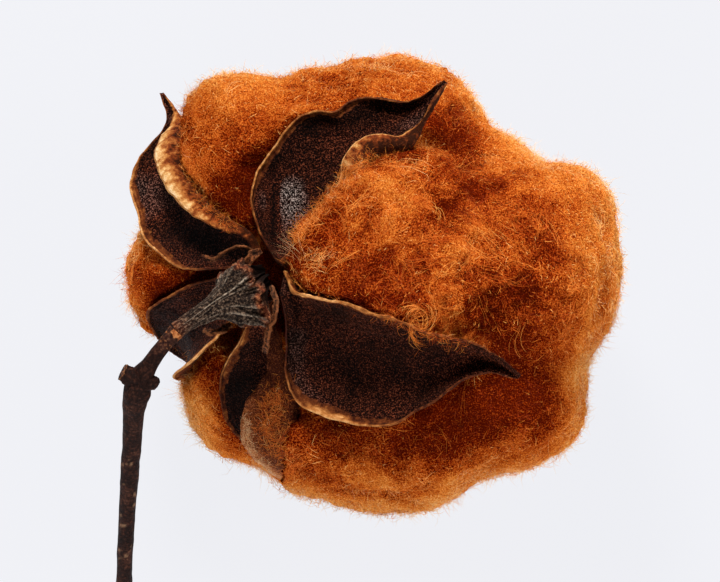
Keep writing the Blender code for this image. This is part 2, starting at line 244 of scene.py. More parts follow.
def ramp_node(tree, stops, spot=None):
    node = tree.nodes.new("ShaderNodeValToRGB")
    while len(node.color_ramp.elements) > 1:
        node.color_ramp.elements.remove(node.color_ramp.elements[-1])
    node.color_ramp.elements[0].position = stops[0][0]
    node.color_ramp.elements[0].color = (*stops[0][1], 1)
    for at, colour in stops[1:]:
        node.color_ramp.elements.new(at).color = (*colour, 1)
    return node


def tex(tree, scale, detail=4, roughness=0.6, kind="ShaderNodeTexNoise"):
    where = tree.nodes.new("ShaderNodeTexCoord")
    node = tree.nodes.new(kind)
    node.inputs["Scale"].default_value = scale
    if "Detail" in node.inputs:
        node.inputs["Detail"].default_value = detail
        node.inputs["Roughness"].default_value = roughness
    tree.links.new(where.outputs["Object"], node.inputs["Vector"])
    return node


def mix(tree, factor, a, b, blend="MIX"):
    node = tree.nodes.new("ShaderNodeMix")
    node.data_type = "RGBA"
    node.blend_type = blend
    for socket, value in ((node.inputs[0], factor), (node.inputs[6], a), (node.inputs[7], b)):
        if isinstance(value, (int, float)):
            socket.default_value = value
        elif isinstance(value, tuple):
            socket.default_value = (*value, 1)
        else:
            tree.links.new(value, socket)
    return node.outputs[2]


def math_node(tree, what, a, b=None, clamp=False):
    node = tree.nodes.new("ShaderNodeMath")
    node.operation = what
    node.use_clamp = clamp
    for socket, value in zip(node.inputs, (a, b)):
        if value is None:
            continue
        if isinstance(value, (int, float)):
            socket.default_value = value
        else:
            tree.links.new(value, socket)
    return node.outputs[0]


def painted(tree):
    node = tree.nodes.new("ShaderNodeAttribute")
    node.attribute_name = "Paint"
    split = tree.nodes.new("ShaderNodeSeparateColor")
    tree.links.new(node.outputs["Color"], split.inputs[0])
    return split.outputs[0], split.outputs[1], split.outputs[2], node.outputs["Alpha"]


def bump(tree, shader, height, crevice_shade, strength=1.0):
    node = tree.nodes.new("ShaderNodeBump")
    node.inputs["Strength"].default_value = strength
    node.inputs["Distance"].default_value = crevice_shade
    tree.links.new(height, node.inputs["Height"])
    tree.links.new(node.outputs[0], shader.inputs["Normal"])


# lint colours from the deep shade between the fibres to the lit tips
LINT_STOPS = [(0.0, (0.072, 0.0048, 0.0007)), (0.16, (0.22, 0.019, 0.0023)), (0.34, (0.44, 0.075, 0.0078)), (0.54, (0.66, 0.178, 0.022)),
              (0.74, (0.77, 0.31, 0.062)), (0.86, (0.81, 0.44, 0.145)), (0.95, (0.83, 0.56, 0.28)), (1.0, (0.36, 0.20, 0.105))]


def fibre_finish():
    """Colour by where each fibre's vertices lie in its map: across is the tone, along runs root to tip, with the root
    end darkened as painted shade.
    """
    mat, tree, shader = nodes_of("cotton_fibre")
    place_in = tree.nodes.new("ShaderNodeUVMap")
    place_in.uv_map = "OFBake"
    split = tree.nodes.new("ShaderNodeSeparateXYZ")
    tree.links.new(place_in.outputs[0], split.inputs[0])
    colour = ramp_node(tree, LINT_STOPS)
    tree.links.new(split.outputs[1], colour.inputs[0])
    # painted shade: each fibre is darker toward its root, where it lies among the others
    root_shade = ramp_node(tree, [(0.0, (0.55, 0.50, 0.48)), (0.35, (0.92, 0.92, 0.92)), (1.0, (1.0, 1.0, 1.0))])
    tree.links.new(split.outputs[0], root_shade.inputs[0])
    tree.links.new(mix(tree, 1.0, colour.outputs[0], root_shade.outputs[0], "MULTIPLY"), shader.inputs["Base Color"])
    shader.inputs["Roughness"].default_value = 0.8
    shader.inputs["Specular IOR Level"].default_value = 0.05
    return mat


def lint_finish():
    """The dense lint under the loose fibres: matted filaments in the painted tone, which carries painted shade in
    crevices and painted light on the skyline.
    """
    mat, tree, shader = nodes_of("cotton_lint")
    tone, _, _, _ = painted(tree)
    fine = tex(tree, 4600.0, 2, 0.6)
    strands_in = tex(tree, 1300.0, 6, 0.7)
    strands_in.inputs["Distortion"].default_value = 2.6
    patches = tex(tree, 260.0, 4, 0.6)
    total = tone
    for node, share in ((fine, 1.50), (strands_in, 0.48), (patches, 0.16)):
        total = math_node(tree, "ADD", total, math_node(tree, "MULTIPLY", math_node(tree, "SUBTRACT", node.outputs[0], 0.5), share))
    colour = ramp_node(tree, LINT_STOPS)
    tree.links.new(total, colour.inputs[0])
    tree.links.new(colour.outputs[0], shader.inputs["Base Color"])
    shader.inputs["Roughness"].default_value = 1.0
    shader.inputs["Specular IOR Level"].default_value = 0.0
    high = math_node(tree, "ADD", fine.outputs[0], math_node(tree, "MULTIPLY", strands_in.outputs[0], 1.5))
    bump(tree, shader, high, 0.0005, 0.9)
    return mat


def bur_finish():
    """Outer face, tan rim and pale lining, told apart by the vertex paint: rim, lining, and on the outer face dust with
    painted sheen and painted shade, or on the lining greyness.
    """
    mat, tree, shader = nodes_of("bur_shell")
    rim, lining, dust_sheen_shade_or_grey, glow = painted(tree)
    grain = tex(tree, 2900.0, 3, 0.65)
    pepper = tex(tree, 5600.0, 1, 0.5)
    both_grains = math_node(tree, "ADD", math_node(tree, "MULTIPLY", grain.outputs[0], 0.36), math_node(tree, "MULTIPLY", pepper.outputs[0], 0.64))
    cells = tex(tree, 3800.0, kind="ShaderNodeTexVoronoi")
    broad = tex(tree, 260.0, 4, 0.6)
    dark = ramp_node(tree, [(0.43, (0.002, 0.0004, 0.0002)), (0.495, (0.011, 0.0021, 0.0008)),
                            (0.55, (0.050, 0.0118, 0.0048)), (0.635, (0.21, 0.062, 0.029))])
    tree.links.new(both_grains, dark.inputs[0])
    tint = ramp_node(tree, [(0.38, (0.60, 0.55, 0.55)), (0.60, (1.20, 1.0, 0.95))])
    tree.links.new(broad.outputs[0], tint.inputs[0])
    outer = mix(tree, 1.0, dark.outputs[0], tint.outputs[0], "MULTIPLY")
    # pale specks where the third channel is above zero: dust, and on the top valve a painted sheen
    speck = ramp_node(tree, [(0.515, (0, 0, 0)), (0.61, (1, 1, 1))])
    tree.links.new(both_grains, speck.inputs[0])
    outer = mix(tree, math_node(tree, "MULTIPLY", speck.outputs[0], dust_sheen_shade_or_grey, clamp=True), outer, (0.76, 0.72, 0.66))
    # painted shade: where the third channel is below zero the outer face is darkened
    shade = tree.nodes.new("ShaderNodeCombineColor")
    for socket in shade.inputs[:3]:
        tree.links.new(math_node(tree, "ADD", dust_sheen_shade_or_grey, 1.0, clamp=True), socket)
    outer = mix(tree, 1.0, outer, shade.outputs[0], "MULTIPLY")
    streak = tex(tree, 1100.0, 5, 0.65)
    pale = ramp_node(tree, [(0.10, (0.030, 0.007, 0.002)), (0.30, (0.18, 0.034, 0.007)), (0.52, (0.42, 0.145, 0.032)),
                            (0.72, (0.66, 0.36, 0.13)), (0.95, (0.84, 0.58, 0.32))])
    wave = math_node(tree, "MULTIPLY", math_node(tree, "SUBTRACT", streak.outputs[0], 0.5), 1.3)
    tree.links.new(math_node(tree, "ADD", lining, wave), pale.inputs[0])
    felt = ramp_node(tree, [(0.30, (0.040, 0.008, 0.003)), (0.50, (0.20, 0.048, 0.012)), (0.68, (0.42, 0.150, 0.045)), (0.85, (0.46, 0.30, 0.19))])
    tree.links.new(math_node(tree, "ADD", math_node(tree, "MULTIPLY", lining, 0.60), math_node(tree, "SUBTRACT", math_node(tree, "MULTIPLY", both_grains, 1.2), 0.33)), felt.inputs[0])
    greyish = mix(tree, dust_sheen_shade_or_grey, pale.outputs[0], felt.outputs[0])
    both = mix(tree, math_node(tree, "GREATER_THAN", lining, 0.02), outer, greyish)
    tan = ramp_node(tree, [(0.15, (0.036, 0.007, 0.003)), (0.40, (0.15, 0.036, 0.009)), (0.65, (0.42, 0.150, 0.036)), (0.92, (0.74, 0.38, 0.145))])
    tree.links.new(math_node(tree, "ADD", math_node(tree, "MULTIPLY", math_node(tree, "SUBTRACT", streak.outputs[0], 0.5), 1.2), glow), tan.inputs[0])
    edge = math_node(tree, "ADD", rim, math_node(tree, "MULTIPLY", math_node(tree, "SUBTRACT", streak.outputs[0], 0.5), 0.6))
    cut = ramp_node(tree, [(0.42, (0, 0, 0)), (0.58, (1, 1, 1))])
    tree.links.new(edge, cut.inputs[0])
    tree.links.new(mix(tree, cut.outputs[0], both, tan.outputs[0]), shader.inputs["Base Color"])
    gloss = ramp_node(tree, [(0.38, (0.75, 0.75, 0.75)), (0.68, (0.40, 0.40, 0.40))])
    tree.links.new(grain.outputs[0], gloss.inputs[0])
    tree.links.new(gloss.outputs[0], shader.inputs["Roughness"])
    shader.inputs["Specular IOR Level"].default_value = 0.04
    high = math_node(tree, "ADD", both_grains, math_node(tree, "MULTIPLY", cells.outputs[0], 0.6))
    bump(tree, shader, high, 0.00026, 0.9)
    return mat


def bark_finish():
    mat, tree, shader = nodes_of("twig_bark")
    graze, patch, _, _ = painted(tree)
    fine = tex(tree, 2200.0, 5, 0.7)
    broad = tex(tree, 320.0, 4, 0.6)
    base = ramp_node(tree, [(0.36, (0.003, 0.0008, 0.0005)), (0.49, (0.012, 0.0034, 0.0020)),
                            (0.59, (0.046, 0.0150, 0.0085)), (0.74, (0.19, 0.090, 0.050))])
    tree.links.new(math_node(tree, "ADD", math_node(tree, "MULTIPLY", fine.outputs[0], 0.65), math_node(tree, "MULTIPLY", broad.outputs[0], 0.35)), base.inputs[0])
    scar = ramp_node(tree, [(0.38, (0.050, 0.012, 0.004)), (0.52, (0.26, 0.075, 0.020)), (0.68, (0.55, 0.24, 0.085))])
    tree.links.new(fine.outputs[0], scar.inputs[0])
    on = ramp_node(tree, [(0.40, (0, 0, 0)), (0.62, (1, 1, 1))])
    tree.links.new(math_node(tree, "ADD", patch, math_node(tree, "MULTIPLY", math_node(tree, "SUBTRACT", fine.outputs[0], 0.5), 0.8)), on.inputs[0])
    body = mix(tree, on.outputs[0], base.outputs[0], scar.outputs[0])
    tree.links.new(mix(tree, math_node(tree, "MULTIPLY", graze, 0.40), body, (0.36, 0.20, 0.11)), shader.inputs["Base Color"])
    shader.inputs["Roughness"].default_value = 0.62
    shader.inputs["Specular IOR Level"].default_value = 0.06
    bump(tree, shader, fine.outputs[0], 0.00030, 0.9)
    return mat


def calyx_finish():
    mat, tree, shader = nodes_of("calyx_skin")
    crest, red, dark, _ = painted(tree)
    fine = tex(tree, 2600.0, 5, 0.7)
    base = ramp_node(tree, [(0.42, (0.003, 0.0014, 0.0009)), (0.51, (0.018, 0.0095, 0.0060)), (0.62, (0.13, 0.082, 0.054))])
    tree.links.new(fine.outputs[0], base.inputs[0])
    pale = ramp_node(tree, [(0.40, (0.034, 0.022, 0.015)), (0.60, (0.52, 0.42, 0.32))])
    tree.links.new(fine.outputs[0], pale.inputs[0])
    body = mix(tree, crest, base.outputs[0], pale.outputs[0])
    rust = ramp_node(tree, [(0.34, (0.020, 0.004, 0.002)), (0.50, (0.10, 0.022, 0.009)), (0.70, (0.42, 0.155, 0.058))])
    tree.links.new(fine.outputs[0], rust.inputs[0])
    body = mix(tree, red, body, rust.outputs[0])
    # painted shade: the third paint channel turns the inside near-black by the receptacle
    body = mix(tree, dark, body, (0.008, 0.004, 0.003))
    tree.links.new(body, shader.inputs["Base Color"])
    shader.inputs["Roughness"].default_value = 0.7
    shader.inputs["Specular IOR Level"].default_value = 0.06
    bump(tree, shader, fine.outputs[0], 0.00026, 0.9)
    return mat


def bract_finish():
    mat, tree, shader = nodes_of("dried_bract")
    pale, grey, _, _ = painted(tree)
    fine = tex(tree, 2400.0, 5, 0.7)
    base = ramp_node(tree, [(0.40, (0.003, 0.0008, 0.0004)), (0.50, (0.024, 0.0054, 0.0022)), (0.62, (0.22, 0.066, 0.022))])
    tree.links.new(fine.outputs[0], base.inputs[0])
    body = mix(tree, math_node(tree, "MULTIPLY", pale, 0.34), base.outputs[0], (0.38, 0.120, 0.036))
    body = mix(tree, math_node(tree, "MULTIPLY", grey, fine.outputs[0]), body, (0.055, 0.036, 0.024))
    tree.links.new(body, shader.inputs["Base Color"])
    shader.inputs["Roughness"].default_value = 0.7
    shader.inputs["Specular IOR Level"].default_value = 0.06
    bump(tree, shader, fine.outputs[0], 0.00025, 0.9)
    return mat


FIBRE, LINT, BUR = fibre_finish(), lint_finish(), bur_finish()
BARK, CALYX, BRACT = bark_finish(), calyx_finish(), bract_finish()


# ---------------------------------------------------------------- the boll's own axis

RECEPTACLE = np.array([258.0, 275.0, 345.0])
AXIS = np.array([0.656, 0.0, -0.755])
EAST = np.array([0.755, 0.0, 0.656])
NORTH = np.array([0.0, -1.0, 0.0])


def root(angle, radius=26.0, deep=12.0):
    a = math.radians(angle)
    return tuple(RECEPTACLE + deep * AXIS + radius * (math.cos(a) * EAST + math.sin(a) * NORTH))


# ---------------------------------------------------------------- bur valves

VALVES = {
    "bur_valve_1": dict(
        left=[root(157), (227, 267.5, 315), (209, 270, 305), (184, 269, 286), (162, 256, 264),
              (143.5, 237, 243), (138, 216, 228), (132, 195, 214), (130, 182, 206),
              (138, 161, 200), (150, 145, 197), (162, 132, 195), (167, 119, 193),
              (164, 106, 192), (159.5, 93, 190)],
        right=[root(110), (245, 237, 322), (226, 226, 304), (206, 212, 284), (192, 190, 263),
               (186, 162, 241), (183, 137, 222), (178, 117, 207), (171, 103, 198), (163, 93, 191)],
        lip=[root(111, 25, 6), (242, 237, 336), (214, 228, 322), (191, 213, 304), (171, 193, 286),
             (159, 173, 269), (155, 156, 251), (160, 140, 234), (171, 127, 219),
             (174, 114, 208), (169, 102, 200), (162.5, 93, 194)],
        dish=9.0, roll=1.0, turned=True),
    "bur_valve_2": dict(
        left=[root(76), (258, 226, 326), (251, 200, 313), (256, 176, 304), (267, 157, 299),
              (281, 136, 297), (296, 119, 300), (316, 111, 307), (335, 112, 314),
              (352, 100, 317), (372, 97, 325), (392, 101, 333), (408, 100, 338),
              (423, 94, 342), (444, 80, 349)],
        right=[root(25.6), (301, 247, 343), (317, 229, 337), (335, 207, 336), (351, 187, 341),
               (362, 168, 347), (373, 155, 350), (391, 149, 349), (408, 143, 348),
               (420, 129, 348), (436, 102, 350), (447, 83, 350)],
        lip=[root(28, 27, 5), (299, 243, 350), (315, 221, 346), (331, 198, 346), (342, 178, 352),
             (347, 156, 364), (361, 140, 366), (380, 136, 362), (396, 137, 358),
             (412, 130, 352), (432, 101, 354), (446, 83, 353)],
        dish=20.0, roll=1.0, turned=True),
    "bur_valve_3": dict(
        left=[root(-46), (284, 310, 349), (286.5, 334, 341), (286.5, 354, 332), (286, 374, 324),
              (293, 394, 317), (302, 406, 319), (321, 415, 326), (340, 421, 334),
              (360, 425, 343), (380, 426, 351), (399, 422, 358), (416, 411, 364),
              (439, 399, 373), (457, 385, 380), (475, 377, 384), (494, 375, 387), (518, 379, 387)],
        right=[root(4.4), (291, 293, 366), (307, 299, 373), (326, 302, 380), (346, 306, 385),
               (360, 312, 389), (376, 318, 391), (398, 323, 394), (426, 336, 396),
               (453, 342, 396), (480, 349, 393), (499, 361, 391), (520, 376.5, 389)],
        lip=[root(6, 27, 7), (293, 291, 372), (309, 297, 380), (328, 300, 387), (348, 304, 392),
             (361, 309, 396), (377, 315, 398), (399, 320, 401), (427, 333, 402),
             (453, 339, 402), (481, 346, 399), (500, 358, 396), (521, 375, 391)],
        dish=30.0, roll=0.4, turned=False),
    "bur_valve_4": dict(
        left=[root(247), (247, 322, 306), (236, 345, 290), (226, 362, 277), (220, 378, 264),
              (220, 392, 254), (222, 408, 243), (227, 422, 233), (236, 433, 224),
              (246, 445, 215), (256, 457, 208), (268, 469, 204), (281, 478, 204)],
        right=[root(284), (270, 325, 312), (276, 345, 297), (281, 365, 286), (288, 385, 280),
               (294, 405, 278), (297, 424, 269), (298, 440, 257), (297, 455, 240),
               (292, 468, 222), (283, 478, 208)],
        lip=[root(282, 29, 9), (264, 330, 314), (266, 350, 311), (268, 369, 309), (260, 383, 307),
             (250, 396, 304), (244, 409, 297), (241, 423, 289), (241, 433, 281),
             (246, 447, 270), (254, 457, 257), (263, 466, 243), (272, 474, 228),
             (280, 479, 212)],
        dish=9.0, roll=1.0, turned=False),
    "bur_valve_5": dict(
        left=[root(172), (214, 277, 292), (189, 285, 275), (166, 297, 254), (149, 309, 232),
              (147, 317, 215), (152, 328, 192), (160, 340, 165), (172, 352, 138), (184, 361, 118)],
        right=[root(219), (238, 310, 308), (222, 327, 300), (208, 341, 289), (197, 351, 273),
               (191, 358, 252), (188, 363, 225), (188, 366, 190), (189, 367, 155), (189, 365, 119)],
        lip=[root(217, 29, 9), (235, 315, 314), (222, 331, 309), (211, 343, 301), (200, 352, 291),
             (190, 361, 280), (180, 368, 266), (172, 376, 249), (176, 380, 225),
             (182, 376, 195), (186, 371, 158), (188, 368, 121)],
        dish=20.0, roll=0.0, turned=False),
}


def valve_grid(spec, rows, where, over):
    """Outer face of one valve, root to tip, from left margin to the free edge of the lip.
    where holds the columns' places across the valve, from -1 to 1."""
    across = len(where)
    left = upright(curve(spec["left"], rows))
    right = upright(curve(spec["right"], rows))
    lip = upright(curve(spec["lip"], rows))
    middle = (left + right) / 2
    along = unit(np.gradient(middle, axis=0))
    inwards = unit(np.cross(right - left, along)) * (-1.0 if spec["turned"] else 1.0)
    t = np.linspace(0, 1, rows)[:, None]
    middle = middle + inwards * spec["dish"] * np.sin(math.pi * np.clip(t, 0, 1) ** 0.75) ** 0.8
    grid = np.zeros((rows, across + over, 3))
    for j, v in enumerate(where):
        grid[:, j] = middle + (right - left) / 2 * v + ((left + right) / 2 - middle) * abs(v) ** 2.2
    reach = np.linalg.norm(lip - right, axis=1, keepdims=True)
    leave = unit(grid[:, across - 1] - grid[:, across - 2]) * reach * np.clip(reach / 9.0, 0.3, 1.3)
    come = unit(middle - right) * reach * spec["roll"] + (lip - right) * (1 - spec["roll"])
    for j in range(over):
        s = (j + 1) / over
        grid[:, across + j] = ((2 * s ** 3 - 3 * s ** 2 + 1) * right + (s ** 3 - 2 * s ** 2 + s) * leave
                               + (3 * s ** 2 - 2 * s ** 3) * lip + (s ** 3 - s ** 2) * come)
    return grid


def grid_normals(grid):
    return unit(np.cross(np.gradient(grid, axis=1), np.gradient(grid, axis=0)))


def plate(name, grid, thick, paint_out, paint_in, mat, facing=1.0):
    """A closed thin plate from an outer grid, with the thickness of each grid point on its inner side."""
    rows, cols = grid.shape[:2]
    inner = grid - grid_normals(grid) * facing * thick[..., None]
    count = rows * cols
    verts = place(upright(np.vstack([grid.reshape(-1, 3), inner.reshape(-1, 3)])))
    i, j = np.meshgrid(np.arange(rows - 1), np.arange(cols - 1), indexing="ij")
    a = (i * cols + j).ravel()
    quads = np.stack([a, a + cols, a + cols + 1, a + 1], axis=1)
    ring = np.concatenate([np.arange(cols), np.arange(1, rows) * cols + cols - 1,
                           (rows - 1) * cols + np.arange(cols - 2, -1, -1), np.arange(rows - 2, 0, -1) * cols])
    nxt = np.roll(ring, -1)
    edge = np.stack([ring, nxt, nxt + count, ring + count], axis=1)
    faces = np.vstack([quads, quads[:, ::-1] + count, edge])
    made = build(name, verts, faces, mat, paint=np.vstack([paint_out.reshape(-1, paint_out.shape[-1]), paint_in.reshape(-1, paint_in.shape[-1])]))
    fix = bmesh.new()
    fix.from_mesh(made.data)
    bmesh.ops.recalc_face_normals(fix, faces=fix.faces)
    fix.to_mesh(made.data)
    fix.free()
    return made


# how wide the tan rim shows along the left margin and along the lip; pale dust,
# partly a painted sheen, where the strength is above zero, and painted shade where
# it is below zero, on the outer face as middle (u, v), reach (u, v) and strength;
# the lining's brightness and how grey it is
TRIM = {
    "bur_valve_1": dict(left=[0.5, 0.8, 2.0, 3.8, 4.6, 4.4, 3.6, 1.6, 0.8, 0.6], left_glow=[0.1, 0.18, 0.50, 0.70, 0.76, 0.78, 0.68, 0.48, 0.36, 0.3],
                        lip=[1, 1.2, 1.2, 1.2, 1.4, 1.6, 1], lip_glow=[0.2, 0.36, 0.8, 0.95, 0.8, 0.6, 0.4],
                        dust_sheen_shade=[(150, 205, 40, 40, 0.06), (205, 238, 50, 20, -0.8), (155, 150, 16, 14, -0.5), (150, 230, 20, 20, 0.06)],
                        pale=[0.16, 0.28, 0.60, 0.84, 0.92, 0.92, 0.88, 0.6, 0.4], grey=0.0, band=[3, 5, 7, 9, 11, 12, 10, 6, 3], streak=0.35),
    "bur_valve_2": dict(left=[0.8, 2.2, 3.4, 4.0, 4.0, 3.8, 3.4, 2.6, 1.0], left_glow=[0.1, 0.42, 0.62, 0.74, 0.64, 0.52, 0.38, 0.32, 0.24],
                        lip=[0.6, 0.8, 0.9, 1.3, 1.8, 1.8, 1.7, 1.4, 1.2, 1.0, 0.4], lip_glow=[0.4, 0.5, 0.7, 0.9, 1.05, 1.0, 0.95, 0.75, 0.62, 0.4, 0.3],
                        dust_sheen_shade=[(290, 198, 17, 24, 0.60), (320, 160, 70, 60, -0.20), (328, 192, 12, 14, -0.4), (262, 212, 6, 24, 0.16), (296, 126, 40, 12, -0.55), (272, 150, 16, 24, -0.6),
                              (352, 114, 40, 12, -0.4), (405, 122, 30, 12, 0.10), (274, 208, 4, 34, -1.2), (260, 235, 10, 20, -0.6)],
                        pale=[0.2, 0.25, 0.3, 0.45, 0.68, 0.62, 0.46, 0.32, 0.28, 0.26, 0.26], grey=0.0, band=[6, 6, 7, 8, 9, 10, 7, 2.6, 2, 2, 2], streak=0.6),
    "bur_valve_3": dict(left=[0.4, 0.4, 0.5, 4.2, 6.6, 7.0, 5.0, 2.2, 1.2, 1.0, 0.6, 0.4], left_glow=[0, 0, 0.05, 0.62, 0.76, 0.78, 0.62, 0.38, 0.3, 0.25, 0.2, 0.2],
                        lip=[3.4, 5.2, 4.4, 3.0, 1.6, 0.9, 0.5, 0.4], lip_glow=[0.56, 0.72, 0.68, 0.56, 0.45, 0.38, 0.3, 0.2],
                        dust_sheen_shade=[(300, 345, 16, 40, 0.09), (330, 392, 40, 18, 0.06), (410, 360, 64, 34, -0.5), (320, 312, 40, 10, -0.6), (345, 350, 30, 40, -0.25)],
                        pale=[0.6, 0.6], grey=0.0, band=[9, 9], streak=0.3),
    "bur_valve_4": dict(left=[0.5, 3, 8, 7, 3, 1.8, 1.4, 1.0, 0.8], left_glow=[0.1, 0.3, 0.74, 0.62, 0.3, 0.25, 0.3, 0.3, 0.3],
                        lip=[0.6, 0.6, 0.6, 0.6, 0.6], lip_glow=[0.5, 0.4, 0.5, 0.6, 0.4],
                        dust_sheen_shade=[(236, 395, 30, 60, -0.9)], pale=[0.03, 0.04, 0.06, 0.12, 0.38, 0.56, 0.74, 0.86, 0.74], grey=0.95, band=[6, 7, 8, 9, 11, 12, 11, 10, 9], streak=0.35),
    "bur_valve_5": dict(left=[0.5, 0.8, 1.6, 1.8, 1.0, 0.6, 0.5], left_glow=[0.1, 0.2, 0.42, 0.42, 0.3, 0.25, 0.2],
                        lip=[2, 4, 4.6, 4.6, 3.4, 1.6, 1], lip_glow=[0.3, 0.72, 0.82, 0.74, 0.6, 0.5, 0.4],
                        dust_sheen_shade=[(165, 335, 50, 50, -0.6)], pale=[0.40, 0.40], grey=0.2, band=[9, 9], streak=0.3),
}


def valve(name, spec):
    rows, over, trim = 80, 11, TRIM[name]
    where = np.sin(np.linspace(-1, 1, 30) * 1.38) / math.sin(1.38)
    grid = valve_grid(spec, rows, where, over)
    facing = 1.0 if spec["turned"] else -1.0
    cols = grid.shape[1]
    run = np.concatenate([np.zeros((rows, 1)), np.cumsum(np.linalg.norm(np.diff(grid, axis=1), axis=2), axis=1)], axis=1)
    from_left, from_lip = run, run[:, -1:] - run
    near = np.minimum(from_left, from_lip)
    t = np.linspace(0, 1, rows)[:, None] * np.ones((1, cols))
    fade = np.clip(t / 0.08, 0, 1) * np.clip((1 - t) / 0.06, 0, 1)
    room = np.clip(run[:, -1:] / 30.0, 0, 1)
    # ragged margins, rolled beads along them, soft dents and lengthwise wrinkles
    up = grid_normals(grid) * facing
    sway = rough(grid, 30.0, 2, 3) * 2.2 + rough(grid, 9.0, 3, 9) * 1.0
    wrinkle = noise(np.stack([t * 7, run / 6.5, t * 0 + 3.3], axis=-1), 5) * 0.9
    bead = (2.0 * np.exp(-(from_left / 2.6) ** 2) + 1.3 * np.exp(-((from_left - 8.0) / 2.0) ** 2)
            - 0.9 * np.exp(-((from_left - 5.0) / 1.6) ** 2)) * room
    grid = grid + up * ((sway + wrinkle + bead) * fade)[..., None]
    side = unit(np.gradient(grid, axis=1))
    jag = rough(np.stack([t * 260, t * 0, t * 0 + np.sign(from_left - from_lip) * 40], axis=-1), 11.0, 3, 21)
    grid = grid + side * (jag * 2.2 * np.exp(-near / 6.0) * fade)[..., None]
    thick = (2.0 + 3.2 * ramp(near, 0, 18)) * np.clip((1.05 - t) / 0.30, 0.25, 1)
    u, v = grid[..., 0], -grid[..., 1]
    # a little dust everywhere, plus painted sheen and painted shade patches from the table
    dust_sheen_shade = 0.02 + sum(k * np.exp(-((u - cu) / ru) ** 2 - ((v - cv) / rv) ** 2) for cu, cv, ru, rv, k in trim["dust_sheen_shade"])
    even = np.linspace(0, 1, rows)
    wide_left = np.interp(even, np.linspace(0, 1, len(trim["left"])), trim["left"])[:, None]
    wide_lip = np.interp(even, np.linspace(0, 1, len(trim["lip"])), trim["lip"])[:, None]
    glow_left, glow_lip, band, light = (np.interp(even, np.linspace(0, 1, len(trim[k])), trim[k])[:, None]
                                        for k in ("left_glow", "lip_glow", "band", "pale"))
    ragged = 1 + 0.5 * rough(grid, 12.0, 3, 61)
    share_left, share_lip = from_left / (wide_left * ragged), from_lip / (wide_lip * ragged)
    rim = np.clip(np.maximum(1.5 - share_left / 1.7, 1.5 - share_lip / 1.7), 0, 1)
    glow = np.where(from_left < from_lip, glow_left, glow_lip) + 0.14 * rough(grid, 20.0, 2, 66)
    share = from_left / np.maximum(wide_left, 0.3)
    glow = glow - (0.46 * np.exp(-((share - 0.46) / 0.13) ** 2) + 0.36 * np.exp(-((share - 0.86) / 0.10) ** 2)) * (wide_left > 2.2)
    glow = np.where(glow > 0.30, 0.30 + (glow - 0.30) * (1 - ramp(np.minimum(share_left, share_lip), 0.75, 1.05)), glow)
    paint_out = np.stack([rim, np.zeros_like(rim), dust_sheen_shade, glow], axis=-1)
    streak = ramp(noise(np.stack([t * 75, run / 14.0, t * 0], axis=-1), 71), 0.15, 0.6)
    pale = light * (0.22 + 0.78 * np.exp(-(from_lip / band) ** 2.2)) * (1 - trim["streak"] * streak)
    paint_in = np.stack([np.clip(1.4 - near / 1.4, 0, 1) * (1 - trim["grey"]), np.clip(pale, 0.05, 1), trim["grey"] + 0 * t, glow], axis=-1)
    made = plate(name + "_shell", grid, thick, paint_out, paint_in, BUR, facing)
    return piece(made, "bur", name)


shells = {name: valve(name, spec) for name, spec in VALVES.items()}


# ---------------------------------------------------------------- tubes: twig and calyx

def tube(centres, radii, rows, sides, shape=None):
    """Rings about a bent centre line; shape(t, angle, radius) gives (radius, slide along the line)."""
    both = curve([(*p, r) for p, r in zip(centres, radii)], rows)
    c, r = upright(both[:, :3]), both[:, 3]
    along = unit(np.gradient(c, axis=0))
    side = np.zeros_like(c)
    side[0] = unit(np.cross(along[0], (0.0, 0.0, 1.0)))
    for i in range(1, rows):
        side[i] = unit(side[i - 1] - along[i] * np.dot(side[i - 1], along[i]))
    other = np.cross(along, side)
    angle = np.linspace(0, 2 * math.pi, sides, endpoint=False)[None, :] * np.ones((rows, 1))
    t = np.linspace(0, 1, rows)[:, None] * np.ones((1, sides))
    radius, slide = shape(t, angle, r[:, None] * np.ones((1, sides))) if shape else (r[:, None] * np.ones((1, sides)), 0 * t)
    out = np.cos(angle)[..., None] * side[:, None] + np.sin(angle)[..., None] * other[:, None]
    return c[:, None] + out * radius[..., None] + along[:, None] * slide[..., None], out, t, angle


def tube_faces(rows, sides):
    i, j = np.meshgrid(np.arange(rows - 1), np.arange(sides), indexing="ij")
    k = (j + 1) % sides
    quads = np.stack([i * sides + j, i * sides + k, (i + 1) * sides + k, (i + 1) * sides + j], axis=-1).reshape(-1, 4)
    ends = np.arange(sides)
    low = np.stack([np.full(sides, rows * sides), (ends + 1) % sides, ends], axis=1)
    top = (rows - 1) * sides
    high = np.stack([np.full(sides, rows * sides + 1), top + ends, top + (ends + 1) % sides], axis=1)
    return [quads, np.vstack([low, high])]


def tube_object(name, ringset, paint, mat, ends=(0.0, 0.0)):
    rows, sides = ringset.shape[:2]
    caps = np.array([ringset[0].mean(0), ringset[-1].mean(0)])
    caps[0] += unit(ringset[0].mean(0) - ringset[1].mean(0)) * ends[0]
    caps[1] += unit(ringset[-1].mean(0) - ringset[-2].mean(0)) * ends[1]
    verts = place(upright(np.vstack([ringset.reshape(-1, 3), caps])))
    verts[:, 2] = np.maximum(verts[:, 2], 0.0)
    full = np.vstack([paint.reshape(-1, 3), paint[0].mean(0), paint[-1].mean(0)])
    made = build(name, verts, tube_faces(rows, sides), mat, paint=full)
    fix = bmesh.new()
    fix.from_mesh(made.data)
    bmesh.ops.recalc_face_normals(fix, faces=fix.faces)
    fix.to_mesh(made.data)
    fix.free()
    return made


